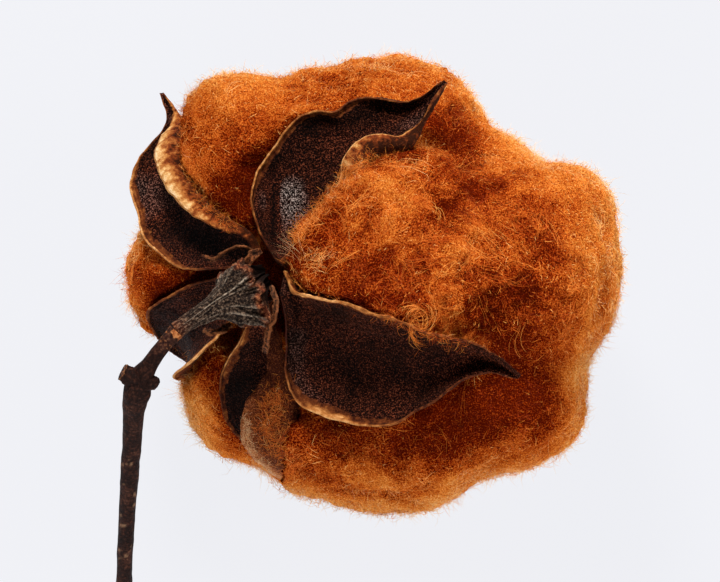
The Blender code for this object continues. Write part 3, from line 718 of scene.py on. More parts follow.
TWIG = [(176, 331, 405), (168, 340, 405), (159, 351, 403), (150, 365, 399), (141, 379, 393),
        (136, 393, 385), (134, 410, 369), (132, 442, 335), (129, 486, 290), (126.3, 530, 243),
        (124, 582, 184), (121, 650, 99), (119, 722, 9)]
TWIG_R = [8.6, 7.6, 7.8, 8.6, 12.5, 12.5, 10.5, 9.8, 8.8, 8.0, 8.0, 8.2, 8.6]


def twig_shape(t, angle, r):
    p = np.stack([np.cos(angle), np.sin(angle), t * 26], axis=-1)
    lump = 0.07 * noise(p, 1) + 0.035 * noise(p * (2.5, 2.5, 3.0), 2)
    furrow = 0.020 * noise(np.stack([np.cos(angle) * 4, np.sin(angle) * 4, t * 8], axis=-1), 3)
    knot = 0.22 * np.exp(-((t - 0.135) / 0.018) ** 2) * ramp(np.cos(angle - 2.6), 0.1, 1) \
        + 0.10 * np.exp(-((t - 0.165) / 0.010) ** 2)
    return r * (1 + lump + furrow + knot), 0 * t


ringset, out, t, angle = tube(TWIG, TWIG_R, 250, 26, twig_shape)
p = ringset
pits = ramp(rough(p * (1, 1, 0.6), 5.0, 2, 77), 0.46, 0.62) * ramp(t, 0.2, 0.3)
joint = np.exp(-t / 0.030) * ramp(rough(p, 9.0, 2, 5), -0.6, 0.3)
paint = np.stack([pits, np.clip(joint * 1.15, 0, 1), 0 * t], axis=-1)
stem = piece(tube_object("twig", ringset, paint, BARK, (0, 0)), "bark", "stem")


def knob(name, line, radii, seed, scar):
    def shape(t, angle, r):
        q = np.stack([np.cos(angle) * 1.4, np.sin(angle) * 1.4, t * 4 + seed], axis=-1)
        return r * (1 + 0.16 * noise(q, seed) + 0.08 * noise(q * 2.7, seed + 1)), 0 * t
    ringset, out, t, angle = tube(line, radii, 34, 26, shape)
    paint = np.stack([0 * t, ramp(t, 0.90, 0.99) * scar, 0 * t], axis=-1)
    return piece(tube_object(name, ringset, paint, BARK, (0, -1.5)), "bark", "stem")


knob("twig_stub", [(142, 382, 393), (134, 378, 395), (128, 375, 396.5), (122.5, 372, 398)], [10, 10.5, 9.6, 8.2], 4, 0.45)
knob("twig_bud", [(144, 383, 393), (151, 382.5, 395), (156, 381, 396.5), (159.5, 380, 397)], [9.5, 8.0, 5.5, 2.2], 8, 0.0)

CUP = [(176, 330.5, 404.5), (181, 327, 404), (188, 322, 400), (198, 315, 394), (209, 307, 387),
       (220, 300, 379), (232, 294, 370), (242, 290, 362)]
CUP_R = [8.0, 8.2, 8.7, 9.8, 11.6, 18.0, 28.0, 33.0]
CUP_LEAN = [0.0, 0.02, 0.08, 0.20, 0.30, 0.36, 0.20, 0.16]


CRESTS = [(a + rng.uniform(-0.14, 0.14), rng.uniform(0.026, 0.060), 0.25 + 0.75 * rng.random() ** 1.5, rng.uniform(-0.35, 0.35))
          for a in np.linspace(0, 2 * math.pi, 27, endpoint=False)]


def ridge(angle, t):
    """Narrow crests that fan out along the calyx, uneven in spacing and strength."""
    out = 0 * angle
    for at, wide, high, drift in CRESTS:
        off = (angle - at - drift * (t - 0.5) - 0.07 * np.sin(9 * t + 40 * drift) * t + math.pi) % (2 * math.pi) - math.pi
        out = np.maximum(out, high * np.exp(-(off / wide) ** 2))
    return out


def cup_shape(t, angle, r):
    lobe = 0.10 * np.cos(3 * angle + 1.1) + 0.07 * np.cos(5 * angle) + 0.03 * np.cos(9 * angle + 2)
    spread = ramp(t, 0.35, 1.0)
    r = r * (1 + np.interp(t, np.linspace(0, 1, len(CUP_LEAN)), CUP_LEAN) * np.cos(angle))
    rr = r * (1 + 0.21 * ridge(angle, t) * (0.5 + 0.5 * spread) - 0.05 + lobe * spread)
    p = np.stack([np.cos(angle) * 2, np.sin(angle) * 2, t * 5], axis=-1)
    rr = rr * (1 + 0.08 * noise(p, 6) + 0.05 * noise(p * 3, 7) + 0.035 * noise(p * 7, 8))
    slide = ramp(t, 0.72, 1.0) * (8.0 * noise(np.stack([np.cos(angle) * 2.5, np.sin(angle) * 2.5, 0 * t], axis=-1), 12)
                                  + 5.5 * noise(np.stack([np.cos(angle) * 8, np.sin(angle) * 8, 0 * t], axis=-1), 13)
                                  + 3.0 * noise(np.stack([np.cos(angle) * 19, np.sin(angle) * 19, 0 * t], axis=-1), 14))
    return rr, slide


outer, way, t, angle = tube(CUP, CUP_R, 72, 160, cup_shape)
crest = np.clip(ridge(angle, t), 0, 1)
grain = rough(outer, 14.0, 3, 51)
paint_o = np.stack([np.clip(crest ** 2.0 * (0.45 + 0.55 * ramp(t, 0, 0.6)) + 0.22 * grain - 0.08, 0, 1),
                    np.clip(np.exp(-t / 0.06) * 0.8 + ramp(t + 0.10 * grain, 0.89, 0.99), 0, 1), 0 * t], axis=-1)
# the rim turns over and goes back inside, down to the plug between the valves
rim_mid = outer[-1].mean(0)
back = []
plug_at = upright(np.array([[243, 289, 361], [246, 287, 358], [250, 284, 353], [256, 279, 347], [262, 276, 340]], float))
for k, (share, centre) in enumerate(zip((0.93, 0.80, 0.55, 0.40, 0.34), plug_at)):
    back.append(centre + (outer[-1] - rim_mid) * share)
body = np.vstack([outer, np.array(back)])
paint_b = np.zeros((5, outer.shape[1], 3))
# painted shade: the turned-back inside is darkened step by step toward the plug, to near-black by the receptacle
paint_b[..., 1], paint_b[..., 2] = 0.3, np.array([0.2, 0.6, 0.9, 1, 1])[:, None]
calyx = piece(tube_object("calyx_cup", body, np.vstack([paint_o, paint_b]), CALYX), "calyx", "calyx")


# ---------------------------------------------------------------- bract remnants

def ribbon(name, node, middle, half, lean, grey, seed, rows=60, cols=17, curl=0.45, thick=2.6):
    m = upright(curve(middle, rows))
    h = np.interp(np.linspace(0, 1, rows), np.linspace(0, 1, len(half)), half)
    along = unit(np.gradient(m, axis=0))
    lean = unit(upright(curve(lean, rows)))
    width = unit(lean - along * np.sum(lean * along, axis=1, keepdims=True))
    face = unit(np.cross(width, along))
    grid = np.zeros((rows, cols, 3))
    t = np.linspace(0, 1, rows)
    for j, s in enumerate(np.linspace(-1, 1, cols)):
        grid[:, j] = m + width * (h * s)[:, None] - face * (h * curl * s * s)[:, None]
    ss = np.linspace(-1, 1, cols)[None, :] * np.ones((rows, 1))
    tt = t[:, None] * np.ones((1, cols))
    grid = grid + grid_normals(grid) * (rough(grid, 9.0, 3, seed) * 2.4)[..., None]
    grid = grid + width[:, None] * (rough(grid, 7.0, 3, seed + 5) * 3.4 * np.abs(ss) ** 2 * np.sign(ss))[..., None]
    edge = np.abs(ss) ** 6
    paint = np.stack([np.clip(edge * 0.8 + 0.25 * rough(grid, 8.0, 2, seed + 2), 0, 1),
                      np.clip(np.interp(tt, np.linspace(0, 1, len(grey)), grey) + 0.3 * rough(grid, 9.0, 2, seed + 8), 0, 1), 0 * tt], axis=-1)
    made = plate(name, grid, np.full((rows, cols), thick), paint, paint, BRACT)
    return piece(made, "bract", node)


ribbon("bract_upper", "bract_remnant_1",
       [(203, 256, 330), (213, 259, 338), (222, 253, 345), (233, 247, 351), (245, 246, 355), (254, 250, 357)],
       [1.8, 3, 4, 4.2, 4, 2.4], [(0.3, -0.6, 0.8), (0.2, -0.5, 0.9), (0.1, -0.5, 0.9)], [0.1, 0.2, 0.2], 60)
ribbon("bract_hanging", "bract_remnant_2",
       [(271, 286, 383), (277, 297, 388), (278, 310, 387), (274, 323, 380), (268, 337, 367), (265, 351, 350)],
       [2.5, 4.5, 5.5, 5.5, 4.2, 2], [(0.9, 0.1, 0.4), (0.6, 0.3, 0.9), (0.3, 0.1, 1.0), (0.9, 0.1, 0.2)], [0.7, 0.4, 0.0, 0, 0.2], 70)
frill = ribbon("calyx_frill", "calyx",
               [(237, 274, 366), (243, 267, 366), (249, 260, 366), (255, 254, 364), (261, 251, 360)],
               [3, 5.5, 6, 5, 2.4], [(-0.7, -0.7, 0.1), (-0.6, -0.7, 0.2), (-0.7, -0.7, 0.1)], [0.0, 0.0, 0.1], 90, curl=0.2)
ribbon("bract_lower", "bract_remnant_3",
       [(232, 326, 352), (222, 331, 352), (212, 334, 350), (203, 331, 349)],
       [3, 5, 4.5, 2], [(0.1, 0.8, 0.6), (0.1, 0.7, 0.7), (0.1, 0.8, 0.6)], [0.2, 0.1, 0.5], 80)


# ---------------------------------------------------------------- lint

LOCKS = {
    "lint_lock_1": dict(heart=(345, 148, 215), lumps=[
        (245, 155, 228, 72, 82, 86), (222, 168, 258, 44, 56, 36), (238, 204, 282, 34, 34, 34),
        (214, 116, 215, 33, 34, 50),
        (335, 149, 195, 92, 86, 122), (399, 147, 195, 92, 92, 130), (500, 166, 190, 32, 34, 70),
        (362, 165, 105, 112, 95, 118)], fibres=13200, detail=6),
    "lint_lock_2": dict(heart=(432, 252, 300), lumps=[
        (480, 268, 225, 142, 112, 150), (532, 310, 200, 78, 67, 120), (420, 240, 290, 100, 92, 98),
        (376, 250, 345, 80, 74, 56), (328, 257, 360, 40, 42, 34), (400, 305, 345, 95, 48, 52),
        (396, 190, 350, 52, 46, 36), (556, 205, 205, 58, 41, 90),
        (455, 268, 105, 125, 105, 120)], fibres=17500, detail=6),
    "lint_lock_3": dict(heart=(420, 410, 215), lumps=[
        (481, 398, 190, 110, 81, 140), (398, 427, 200, 98, 94, 140), (325, 425, 195, 62, 72, 100),
        (296, 432, 262, 38, 50, 40), (304, 460, 205, 33, 33, 56),
        (440, 390, 100, 112, 92, 115)], fibres=13200, detail=6),
    "lint_lock_4": dict(heart=(272, 392, 155), lumps=[
        (262, 395, 150, 80, 72, 115), (203, 378, 188, 26, 34, 60), (218, 360, 212, 30, 30, 46), (325, 395, 108, 92, 82, 116)], fibres=7200, detail=5),
    "lint_lock_5": dict(heart=(225, 265, 160), lumps=[
        (203, 279, 165, 81, 80, 112), (285, 262, 106, 115, 92, 114)], fibres=7200, detail=5),
}


def swell(points, lumps):
    total = np.zeros(len(points))
    for u, v, w, a, b, c in lumps:
        q = (points - (u, v, w)) / (a, b, c)
        inside = (1.0 - np.linalg.norm(q, axis=1)) * min(a, b, c)
        total = total + np.exp(np.clip(inside, -200, 200) / 9.0)
    return 9.0 * np.log(total)


def tree_of(obj):
    verts = [v.co[:] for v in obj.data.vertices]
    return BVHTree.FromPolygons(verts, [p.vertices[:] for p in obj.data.polygons])


walls = [tree_of(o) for o in list(shells.values()) + [calyx]]


def lock_body(name, spec, detail):
    ball = bmesh.new()
    bmesh.ops.create_icosphere(ball, subdivisions=detail, radius=1.0)
    ways = unit(np.array([v.co[:] for v in ball.verts]))
    near = [[e.other_vert(v).index for e in v.link_edges] for v in ball.verts]
    faces = np.array([[v.index for v in f.verts] for f in ball.faces])
    ball.free()
    heart = np.array(spec["heart"], float)
    reach, going = np.zeros(len(ways)), np.ones(len(ways), bool)
    open_air = np.ones(len(ways))
    for step in np.arange(4.0, 330.0, 3.0):
        p = heart + ways * (1.0, -1.0, 1.0) * step
        fields = np.array([swell(p, spec["lumps"])] + [swell(p, other["lumps"]) for key, other in LOCKS.items() if key != name])
        mine, rival = fields[0], fields[1:].max(axis=0)
        whole = 7.0 * np.log(np.exp(np.clip(fields, -150, 150) / 7.0).sum(axis=0))
        ahead = mine > rival - 3.0
        open_air = np.where(going, np.clip((mine - rival) / 24.0, 0.0, 1.0), open_air)
        going &= (whole > 0) & ahead
        reach[going] = step
    skin = heart + ways * (1.0, -1.0, 1.0) * reach[:, None]
    reach += (rough(skin, 44.0, 3, 90) * 8.0 + rough(skin, 16.0, 3, 91) * 4.6) * (0.25 + 0.75 * open_air) - 4.0 * open_air
    down = -ways[:, 2]
    reach = np.minimum(reach, np.where(down > 1e-6, (heart[2] - 2.0) / np.maximum(down, 1e-6), 1e9))
    start = Vector(place(heart)[0])
    full = place(heart + ways * (1.0, -1.0, 1.0) * reach[:, None])
    held = np.zeros(len(ways), bool)
    for i, end in enumerate(full):
        to = Vector(end) - start
        far = to.length
        to.normalize()
        for wall in walls:
            hit = wall.ray_cast(start, to, far + 0.0003)
            if hit[0] is not None:
                reach[i] = min(reach[i], reach[i] * max((hit[3] - 0.0004) / far, 0.05))
                held[i] = True
    low = reach.copy()
    for i, others in enumerate(near):
        stop = [reach[j] for j in others if held[j]]
        if stop:
            low[i] = min(low[i], min(stop) + 3.0)
    return heart, ways, faces, low, held, open_air


def vertex_normals(points, faces):
    n = np.zeros_like(points)
    f = np.cross(points[faces[:, 1]] - points[faces[:, 0]], points[faces[:, 2]] - points[faces[:, 0]])
    for k in range(3):
        np.add.at(n, faces[:, k], f)
    return unit(n)


def outward(points):
    """The way out of all the locks together at upright sheet points."""
    def field(q):
        return 7.0 * np.log(sum(np.exp(np.clip(swell(q, spec["lumps"]), -150, 150) / 7.0) for spec in LOCKS.values()))
    flat = points * (1.0, -1.0, 1.0)
    slope = np.stack([field(flat + step) - field(flat - step) for step in np.eye(3) * 2.0], axis=-1)
    return unit(-slope * (1.0, -1.0, 1.0))


def flow(p):
    """The way the lint is combed: away from the receptacle, in soft swirls."""
    away = unit(p - upright(RECEPTACLE))
    swirl = np.stack([rough(p, 60.0, 2, 200 + k) for k in range(3)], axis=-1)
    small = np.stack([rough(p, 18.0, 2, 210 + k) for k in range(3)], axis=-1)
    turn = unit(np.stack([p[:, 1] + 300.0, 440.0 - p[:, 0], 0 * p[:, 0]], axis=-1))
    share = round_tuft(p)[:, None]
    return away * 0.30 + swirl * 1.6 * (1 - 0.5 * share) + small * 1.0 + turn * 2.2 * share


def flat_to(way, normal):
    return unit(way - normal * np.sum(way * normal, axis=1, keepdims=True))


def strands(name, path, wide, tone, node, airy=False):
    """Closed three-sided spindles along the given paths, (points, strands, 3) in upright sheet steps."""
    rings, count = len(path) - 2, path.shape[1]
    path = path.copy()
    path[..., 2] = np.maximum(path[..., 2], 1.0)
    for _ in range(3):
        spots = place(upright(path.reshape(-1, 3))).reshape(path.shape)
        proud = ((spots < np.array(CAD_BOX[0]) - 0.0016) | (spots > np.array(CAD_BOX[1]) + 0.0016)).any(axis=(0, 2))
        path[:, proud] = path[0, proud] + (path[:, proud] - path[0, proud]) * 0.55
    verts = np.zeros((count, 2 + 3 * rings, 3))
    uv = np.zeros((count, 2 + 3 * rings, 2))
    verts[:, 0], verts[:, 1] = path[0], path[-1]
    uv[:, 0], uv[:, 1] = np.stack([0 * tone, tone], 1), np.stack([0 * tone + 1, tone], 1)
    u = None
    for r in range(rings):
        along = unit(path[r + 2] - path[r])
        u = unit(np.cross(along, (0.31, 0.52, 0.79))) if u is None else flat_to(u, along)
        w = np.cross(along, u)
        t = (r + 1) / (rings + 1)
        thick = wide * math.sin(math.pi * (0.20 + 0.68 * t)) ** 0.6
        for k in range(3):
            a = 2 * math.pi * k / 3
            verts[:, 2 + 3 * r + k] = path[r + 1] + (u * math.cos(a) + w * math.sin(a)) * thick[:, None]
            uv[:, 2 + 3 * r + k] = np.stack([0 * tone + t, tone + (k - 1) * 0.006], 1)
    tris = []
    for k in range(3):
        n = (k + 1) % 3
        tris.append((0, 2 + n, 2 + k))
        for r in range(rings - 1):
            a, b = 2 + 3 * r + k, 2 + 3 * r + n
            tris += [(a, b, b + 3), (a, b + 3, a + 3)]
        tris.append((1, 2 + 3 * (rings - 1) + k, 2 + 3 * (rings - 1) + n))
    faces = (np.arange(count)[:, None, None] * (2 + 3 * rings) + np.array(tris)[None]).reshape(-1, 3)
    made = build(name, place(upright(verts.reshape(-1, 3))), faces, FIBRE, uv=np.clip(uv.reshape(-1, 2), 0.004, 0.996))
    made.visible_shadow = not airy
    return piece(made, "lint", node)


def scatter(points, faces, weight, count):
    """Random spots on a surface: face numbers and blend shares."""
    tri = points[faces]
    area = np.linalg.norm(np.cross(tri[:, 1] - tri[:, 0], tri[:, 2] - tri[:, 0]), axis=1) * weight
    pick = rng.choice(len(faces), count, p=area / area.sum())
    a, b = rng.random(count), rng.random(count)
    over = a + b > 1
    a[over], b[over] = 1 - a[over], 1 - b[over]
    return pick, np.stack([1 - a - b, a, b], axis=1)


def arcs(base, way, normal, length, turn, parts):
    """Flat bends from base along way that turn by the given angle over their length."""
    side = np.cross(normal, way)
    turn = np.where(np.abs(turn) < 1e-2, 1e-2, turn)
    out = []
    for t in np.linspace(0, 1, parts):
        x = length * np.sin(turn * t) / turn
        y = length * (1 - np.cos(turn * t)) / turn
        out.append(base + way * x[:, None] + side * y[:, None])
    return np.array(out)


def lay(path, tree, height):
    """Each path point put at its height over the nearest spot of the lock."""
    out = np.zeros_like(path)
    for i in range(len(path)):
        for j, p in enumerate(path[i]):
            spot, way, _, _ = tree.find_nearest(p)
            h = height[i, j]
            out[i, j] = (spot[0] + way[0] * h, spot[1] + way[1] * h, spot[2] + way[2] * h)
    return out


# painted shade on the lint where little light reaches, and painted light on thin places that light shines through:
# middle (u, v), reach (u, v), change of tone
PAINTED_SHADE_AND_LIGHT = [(242, 196, 26, 42, -0.40), (150, 280, 22, 22, -0.07), (398, 184, 30, 15, 0.15), (466, 232, 18, 22, 0.10),
           (452, 142, 24, 30, -0.46), (434, 118, 12, 16, -0.30), (474, 160, 14, 12, -0.20), (392, 301, 34, 9, -0.34), (512, 140, 22, 20, 0.08), (444, 209, 13, 10, -0.30), (474, 192, 15, 10, -0.28),
           (498, 186, 13, 8, -0.28), (530, 202, 22, 9, -0.10), (556, 264, 11, 34, -0.16), (524, 290, 30, 16, -0.18),
           (384, 272, 26, 12, -0.13), (404, 246, 30, 12, 0.06), (318, 262, 34, 22, -0.12), (365, 262, 30, 20, -0.16), (412, 230, 90, 60, -0.10), (516, 352, 40, 40, -0.44), (486, 404, 60, 26, -0.40), (545, 395, 46, 26, -0.18),
           (500, 436, 80, 26, -0.16), (448, 184, 36, 14, -0.22), (300, 430, 42, 26, -0.24), (170, 284, 36, 18, -0.34),
           (415, 440, 60, 24, -0.12), (360, 300, 60, 16, -0.14), (425, 100, 44, 16, 0.05), (250, 85, 60, 20, 0.06),
           (205, 365, 14, 14, -0.26), (385, 150, 30, 16, -0.18), (408, 317, 18, 7, -0.36), (578, 386, 14, 22, 0.25), (603, 218, 26, 36, 0.22),
           (199, 413, 16, 18, 0.25), (482, 478, 22, 12, 0.24), (376, 505, 14, 8, 0.20), (128, 276, 8, 20, -0.20), (182, 124, 10, 28, -0.30),
           (452, 74, 16, 10, -0.20), (411, 247, 12, 10, -0.15), (517, 176, 16, 9, -0.22), (322, 228, 16, 20, -0.18), (314, 497, 18, 10, 0.20), (356, 221, 10, 10, 0.15), (410, 154, 14, 10, -0.25),
           (219, 222, 10, 14, -0.25), (568, 440, 14, 14, 0.20), (396, 292, 16, 14, -0.15), (128, 272, 8, 16, -0.14), (572, 258, 12, 16, -0.13),
           (482, 111, 10, 14, 0.14), (151, 304, 8, 8, 0.18), (196, 142, 8, 14, -0.14), (196, 408, 14, 30, 0.16), (430, 504, 50, 8, 0.20),
           (300, 489, 14, 10, 0.16), (304, 279, 12, 8, 0.20), (618, 248, 7, 24, 0.20), (264, 145, 8, 12, 0.18), (446, 187, 10, 10, 0.18),
           (479, 246, 12, 16, 0.17), (345, 225, 10, 10, 0.14), (469, 114, 10, 12, 0.12), (422, 320, 12, 9, -0.30), (584, 395, 10, 50, 0.20), (480, 483, 36, 10, 0.18),
           (345, 507, 36, 8, 0.18), (205, 430, 14, 26, 0.16), (616, 225, 8, 44, 0.18), (562, 203, 14, 14, 0.16), (524, 200, 10, 14, -0.14),
           (544, 232, 9, 20, -0.12), (555, 398, 14, 26, 0.20), (565, 374, 10, 12, 0.12), (384, 490, 10, 10, 0.10), (550, 250, 50, 70, -0.03), (560, 306, 14, 16, -0.12)]


def round_tuft(p):
    """How much the lint is combed round the middle of the upper tuft."""
    far = np.hypot(p[..., 0] - 440.0, p[..., 1] + 300.0)
    return np.exp(-(far / 130.0) ** 2) * ramp(p[..., 2], 180, 290)


def streaks(p):
    """Bands of tone that run along the combing: round the tuft there, and away from the receptacle elsewhere."""
    q = p + 9.0 * np.stack([rough(p, 30.0, 2, 400 + k) for k in range(3)], axis=-1)
    a, b = q[..., 0] - 440.0, q[..., 1] + 300.0
    ring = rough(np.stack([np.hypot(a, b), 20.0 * np.arctan2(a - b, -a - b), q[..., 2] * 0.3], axis=-1), 6.5, 3, 410)
    a, b = q[..., 0] - RECEPTACLE[0], q[..., 1] + RECEPTACLE[1]
    fan = rough(np.stack([220.0 * np.arctan2(b, a), np.hypot(a, b) * 0.2, q[..., 2] * 0.13], axis=-1), 7.0, 3, 420)
    share = round_tuft(p)
    return 1.4 * ring * share + 0.5 * fan * (1 - share)


def tone_at(p, normal=None, limb_light=0.15):
    upper = ramp(p[..., 2], 60.0, 150.0)
    # painted light: the tone is raised where the surface turns sideways, on the skyline, for light shining through the
    # fringe
    side = 0.0 if normal is None else np.exp(-((normal[..., 2] - 0.02) / 0.34) ** 2)
    calm = (0.5 + 0.5 * upper) * (1 - 0.5 * side)
    tone = 0.535 + calm * (0.11 * rough(p, 40.0, 3, 300) + 0.05 * rough(p, 8.0, 2, 310) + 0.22 * streaks(p))
    # painted shade and painted light: soft patches that darken or lighten the tone
    for u, v, ru, rv, change in PAINTED_SHADE_AND_LIGHT:
        tone = tone + change * upper * np.exp(-((p[..., 0] - u) / ru) ** 2 - ((p[..., 1] + v) / rv) ** 2)
    return np.minimum(tone + limb_light * side, 0.64 + limb_light)


def crevice_shade(points, normals):
    """How deep each spot lies in a crevice between locks or by the receptacle, 0 to 1, for painted shade in the lint
    tone.
    """
    flat = points * (1.0, -1.0, 1.0)
    ahead = normals * (1.0, -1.0, 1.0)
    out = 0.0
    for far, share in ((9.0, 0.35), (20.0, 0.35), (38.0, 0.30)):
        q = flat + ahead * far
        inside = np.max([swell(q, spec["lumps"]) for spec in LOCKS.values()], axis=0)
        out = out + share * ramp(inside, -far * 0.80, far * 0.15)
    by_root = np.exp(-(np.linalg.norm(flat - RECEPTACLE, axis=1) / 66.0) ** 2)
    return np.clip(out + 1.0 * by_root, 0, 1)


def grow(name, spec, points, normals, faces, free, dark):
    tree = BVHTree.FromPolygons(points.tolist(), faces.tolist())
    weight = free[faces].mean(1) * (0.40 + 0.60 * ramp(normals[faces][:, :, 2].mean(1), -0.5, 0.5))
    weight = weight * ramp(points[faces][:, :, 2].mean(1), 1.0, 10.0) + 1e-9

    def spots(count, tilt=None):
        w = weight if tilt is None else weight * tilt[faces].mean(1)
        pick, share = scatter(points, faces, w, count)
        base = np.einsum("nk,nkc->nc", share, points[faces[pick]])
        deep = np.einsum("nk,nk->n", share, dark[faces[pick]])
        return base, unit(np.einsum("nk,nkc->nc", share, normals[faces[pick]])), deep

    # the mat: short, tangled, lying close
    for part, share, long, parts, wide in (("_mat", 0.14, (8, 20), 4, (0.15, 0.30)), ("_felt", 0.585, (3.0, 7.0), 3, (0.22, 0.40))):
        count = int(spec["fibres"] * share)
        base, n, deep = spots(count)
        even = round_tuft(base)
        comb = 0.9 + 1.2 * even[:, None]
        way = flat_to(unit(flow(base)) * comb + rng.normal(0, 0.7, (count, 3)), n)
        length = rng.uniform(*long, count)
        path = arcs(base, way, n, length, rng.normal(0, 1.4, count) * (1 - 0.4 * even), parts)
        top = np.abs(rng.normal(0, 2.4, count)) + 0.1
        steps = np.array([0.0, 0.8, 1.0, 0.7]) if parts == 4 else np.array([0.0, 1.0, 0.8])
        height = top[None] * steps[:, None] + rng.normal(0, 0.6, (parts, count))
        height[0] -= 1.2
        # painted shade: tone darkened in crevices and for fibres that lie lower in the mat
        strands(name + part, lay(path, tree, height), rng.uniform(*wide, count),
                np.clip(tone_at(base, n) - 0.42 * deep + 0.05 * (top - 1.8) + rng.normal(0, 0.22, count), 0.01, 0.82), name, airy=True)
    # long curved hairs in loose wisps, most of them on the tuft that faces the camera
    count = int(spec["fibres"] * (0.085 if name == "lint_lock_2" else 0.04))
    tufty = 0.25 + np.exp(-((points[:, 0] - 385) / 110) ** 2 - ((points[:, 1] + 240) / 100) ** 2) * ramp(points[:, 2], 200, 320)
    wisps = count // 4 + 1
    centre, cn, deep = spots(wisps, tufty)
    who = np.repeat(np.arange(wisps), 4)[:count]
    base = centre[who] + rng.normal(0, 2.6, (count, 3))
    n = cn[who]
    cway = flat_to(unit(flow(centre)) + rng.normal(0, 0.25, (wisps, 3)), cn)
    way = flat_to(cway[who] + rng.normal(0, 0.15, (count, 3)), n)
    turn = rng.normal(0, 1.5, wisps)[who] + rng.normal(0, 0.25, count)
    path = arcs(base, way, n, rng.uniform(26, 56, wisps)[who] * rng.uniform(0.8, 1.1, count), turn, 6)
    top = (np.abs(rng.normal(0, 2.2, wisps)) + 1.0)[who] + rng.normal(0, 0.5, count)
    height = top[None] * np.array([0.0, 0.7, 1.0, 1.0, 0.8, 0.6])[:, None] + rng.normal(0, 0.4, (6, count))
    # painted shade: tone darkened in crevices
    tone = (tone_at(centre, cn) - 0.35 * deep + rng.normal(0.06, 0.13, wisps))[who] + rng.normal(0, 0.05, count)
    strands(name + "_long", lay(path, tree, height), rng.uniform(0.11, 0.20, count), np.clip(tone, 0.01, 0.88), name, airy=True)
    # the fuzz: fine curly hairs that stand off the surface, thickest on the skyline, over shorter bent ones
    skyline = 0.34 + 4.2 * np.exp(-((normals[:, 2] - 0.04) / 0.22) ** 2)
    for part, share, long, parts in (("_fuzz", 0.18, (8, 18), 4), ("_nap", 0.60, (5, 13), 3)):
        count = int(spec["fibres"] * share)
        base, n, deep = spots(count, skyline ** (1.15 if part == "_fuzz" else 1.5))
        way = flat_to(unit(flow(base)) + rng.normal(0, 0.9, (count, 3)), n)
        way = unit(way + n * (rng.uniform(0.20, 1.35, count) ** 1.2)[:, None])
        over = flat_to(n + 0.7 * rng.normal(0, 1, (count, 3)), way)
        length = rng.uniform(*long, count) * (1 + 0.9 * rng.random(count) ** 4)
        path = arcs(base - n * 0.8, way, np.cross(way, over), length, rng.normal(-1.6, 1.7, count), parts)
        # painted shade in crevices; painted light: these hairs are paler overall and palest on the skyline, for light
        # shining through the fringe
        strands(name + part, path, rng.uniform(0.085, 0.15, count),
                np.clip(tone_at(base, n, 0.26) - 0.35 * deep + rng.normal(0.13, 0.13, count), 0.01, 0.79 + 0.16 * np.exp(-((n[:, 2] - 0.02) / 0.34) ** 2)), name, airy=True)


over_all = []
for name, spec in LOCKS.items():
    heart, ways, faces, reach, held, open_air = lock_body(name, spec, spec["detail"])
    points = upright(heart + ways * (1.0, -1.0, 1.0) * reach[:, None])
    points[:, 2] = np.maximum(points[:, 2], 0.0)
    seam = ((1.0 - open_air) * np.where(held, 0.0, 1.0))[:, None]
    normals = unit(vertex_normals(points, faces) * (1 - seam) + outward(points) * seam)
    # painted shade: the lint body tone is darkened in crevices between locks and by the receptacle
    dark = crevice_shade(points, normals)
    paint = np.stack([np.clip(tone_at(points, normals) - 0.10 - 0.50 * dark, 0, 0.67), 0 * reach, 0 * reach], axis=-1)
    made = build(name + "_body", place(upright(points)), faces, LINT, paint=paint)
    made.data.normals_split_custom_set_from_vertices(normals.tolist())
    piece(made, "lint", name)
    over_all.append(BVHTree.FromPolygons(points.tolist(), faces.tolist()))
    grow(name, spec, points, normals, faces, np.where(held, 0.5, 1.0), dark)


# ---------------------------------------------------------------- loose wisps over the bur

for shell in list(shells.values()) + [calyx]:
    count = len(shell.data.vertices)
    flat = np.empty(count * 3, np.float32)
    shell.data.vertices.foreach_get("co", flat)
    over_all.append(BVHTree.FromPolygons(sheet_of(flat.reshape(-1, 3)).tolist(), [p.vertices[:] for p in shell.data.polygons]))


def top_of(u, v):
    """Height of whatever the camera sees at a sheet column."""
    best = 0.0
    for tree in over_all:
        hit = tree.ray_cast(Vector((u, -v, 460.0)), Vector((0, 0, -1)))
        if hit[0] is not None:
            best = max(best, hit[0][2])
    return best


def wisps(name, node, line, spread, count, heading, loose, length, turn, rise, tone, wide=(0.10, 0.18)):
    """Hairs laid over whatever lies on top, from spots near a line on the sheet; heading is an angle in degrees,
    0 to the right and 90 up."""
    at = curve([(*p, 0.0) for p in line], 200)[rng.integers(0, 200, count)][:, :2] + rng.normal(0, spread, (count, 2))
    way = np.radians(heading) + rng.normal(0, loose, count)
    long, bend = rng.uniform(*length, count), rng.normal(turn[0], turn[1], count)
    bend = np.where(np.abs(bend) < 1e-2, 1e-2, bend)
    high = rng.uniform(*rise, count)
    path = np.zeros((5, count, 3))
    for i, t in enumerate(np.linspace(0, 1, 5)):
        x = long * np.sin(bend * t) / bend
        y = long * (1 - np.cos(bend * t)) / bend
        path[i, :, 0] = at[:, 0] + x * np.cos(way) - y * np.sin(way)
        path[i, :, 1] = -at[:, 1] + x * np.sin(way) + y * np.cos(way)
    for j in range(count):
        w = [top_of(path[i, j, 0], -path[i, j, 1]) for i in range(5)]
        drop = 0.16 * long[j]
        for i in range(1, 5):
            w[i] = min(max(w[i], w[i - 1] - drop), w[i - 1] + drop)
        path[:, j, 2] = np.array(w) + high[j] * np.array([0.5, 1.0, 1.1, 1.0, 0.8])
    strands(name, path, rng.uniform(*wide, count), np.clip(rng.normal(tone[0], tone[1], count), 0.01, 0.99), node, airy=True)


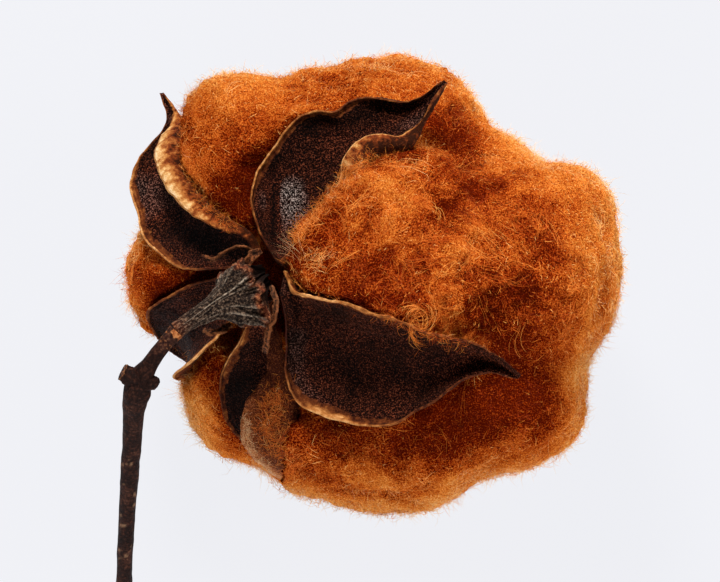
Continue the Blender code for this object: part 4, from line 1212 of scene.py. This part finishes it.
wisps("wisps_over_top_valve", "lint_lock_2", [(350, 172), (341, 186), (328, 200), (317, 215), (303, 228), (296, 242)],
      3.6, 760, 165, 1.5, (5, 13), (0.0, 2.4), (0.2, 2.4), (0.56, 0.15))
wisps("wisps_over_top_lip", "lint_lock_2", [(349, 178), (356, 165), (368, 158), (382, 156), (394, 162), (404, 169), (417, 165), (425, 153)],
      3.0, 520, -70, 1.4, (5, 13), (0.0, 2.4), (0.3, 2.6), (0.50, 0.15))
wisps("wisps_over_right_valve", "lint_lock_2", [(378, 312), (395, 320), (412, 326), (430, 334), (450, 340), (470, 342)],
      3.2, 270, -60, 1.5, (7, 16), (0.0, 3.0), (0.5, 3.2), (0.37, 0.17))
wisps("film_on_lower_valve", "lint_lock_3", [(278, 392), (272, 404), (270, 422), (276, 442), (290, 462), (304, 478)],
      7.0, 1150, 100, 1.4, (4, 11), (0.0, 2.0), (0.2, 1.8), (0.44, 0.16))
wisps("hairs_on_flap_edge", "lint_lock_3", [(246, 416), (246, 428), (248, 442), (257, 456), (270, 468)],
      2.4, 240, -75, 0.9, (4, 9), (0.0, 1.5), (0.1, 0.9), (0.98, 0.03), (0.09, 0.18))
wisps("wisps_by_left_lip", "lint_lock_1", [(188, 122), (186, 145), (190, 170), (200, 195), (222, 218), (238, 226)],
      3.0, 560, 200, 1.5, (4, 12), (0.0, 2.4), (0.2, 2.2), (0.46, 0.15))
wisps("pale_strays", "lint_lock_2", [(300, 262), (297, 254), (292, 248)], 3.0, 14, 125, 0.25, (18, 34), (0.5, 0.5), (2.0, 6.0), (0.97, 0.02), (0.07, 0.11))
wisps("pale_felt", "lint_lock_2", [(294, 272), (303, 265), (313, 260), (325, 260)], 5.5, 110, 35, 0.7, (8, 20), (-0.6, 1.2), (0.2, 1.4), (0.79, 0.05), (0.08, 0.13))
ring_at = np.radians(rng.uniform(0, 360, 90))
for k in range(3):
    wisps("hair_ring_%d" % k, "lint_lock_2", [(419 + 9 * math.cos(a), 321 - 12 * math.sin(a)) for a in np.linspace(k * 2.1, k * 2.1 + 2.1, 5)],
          0.9, 34, 90 + math.degrees(k * 2.1 + 1.0), 0.4, (18, 34), (2.2, 0.5), (1.5, 4.0), (0.56, 0.10))
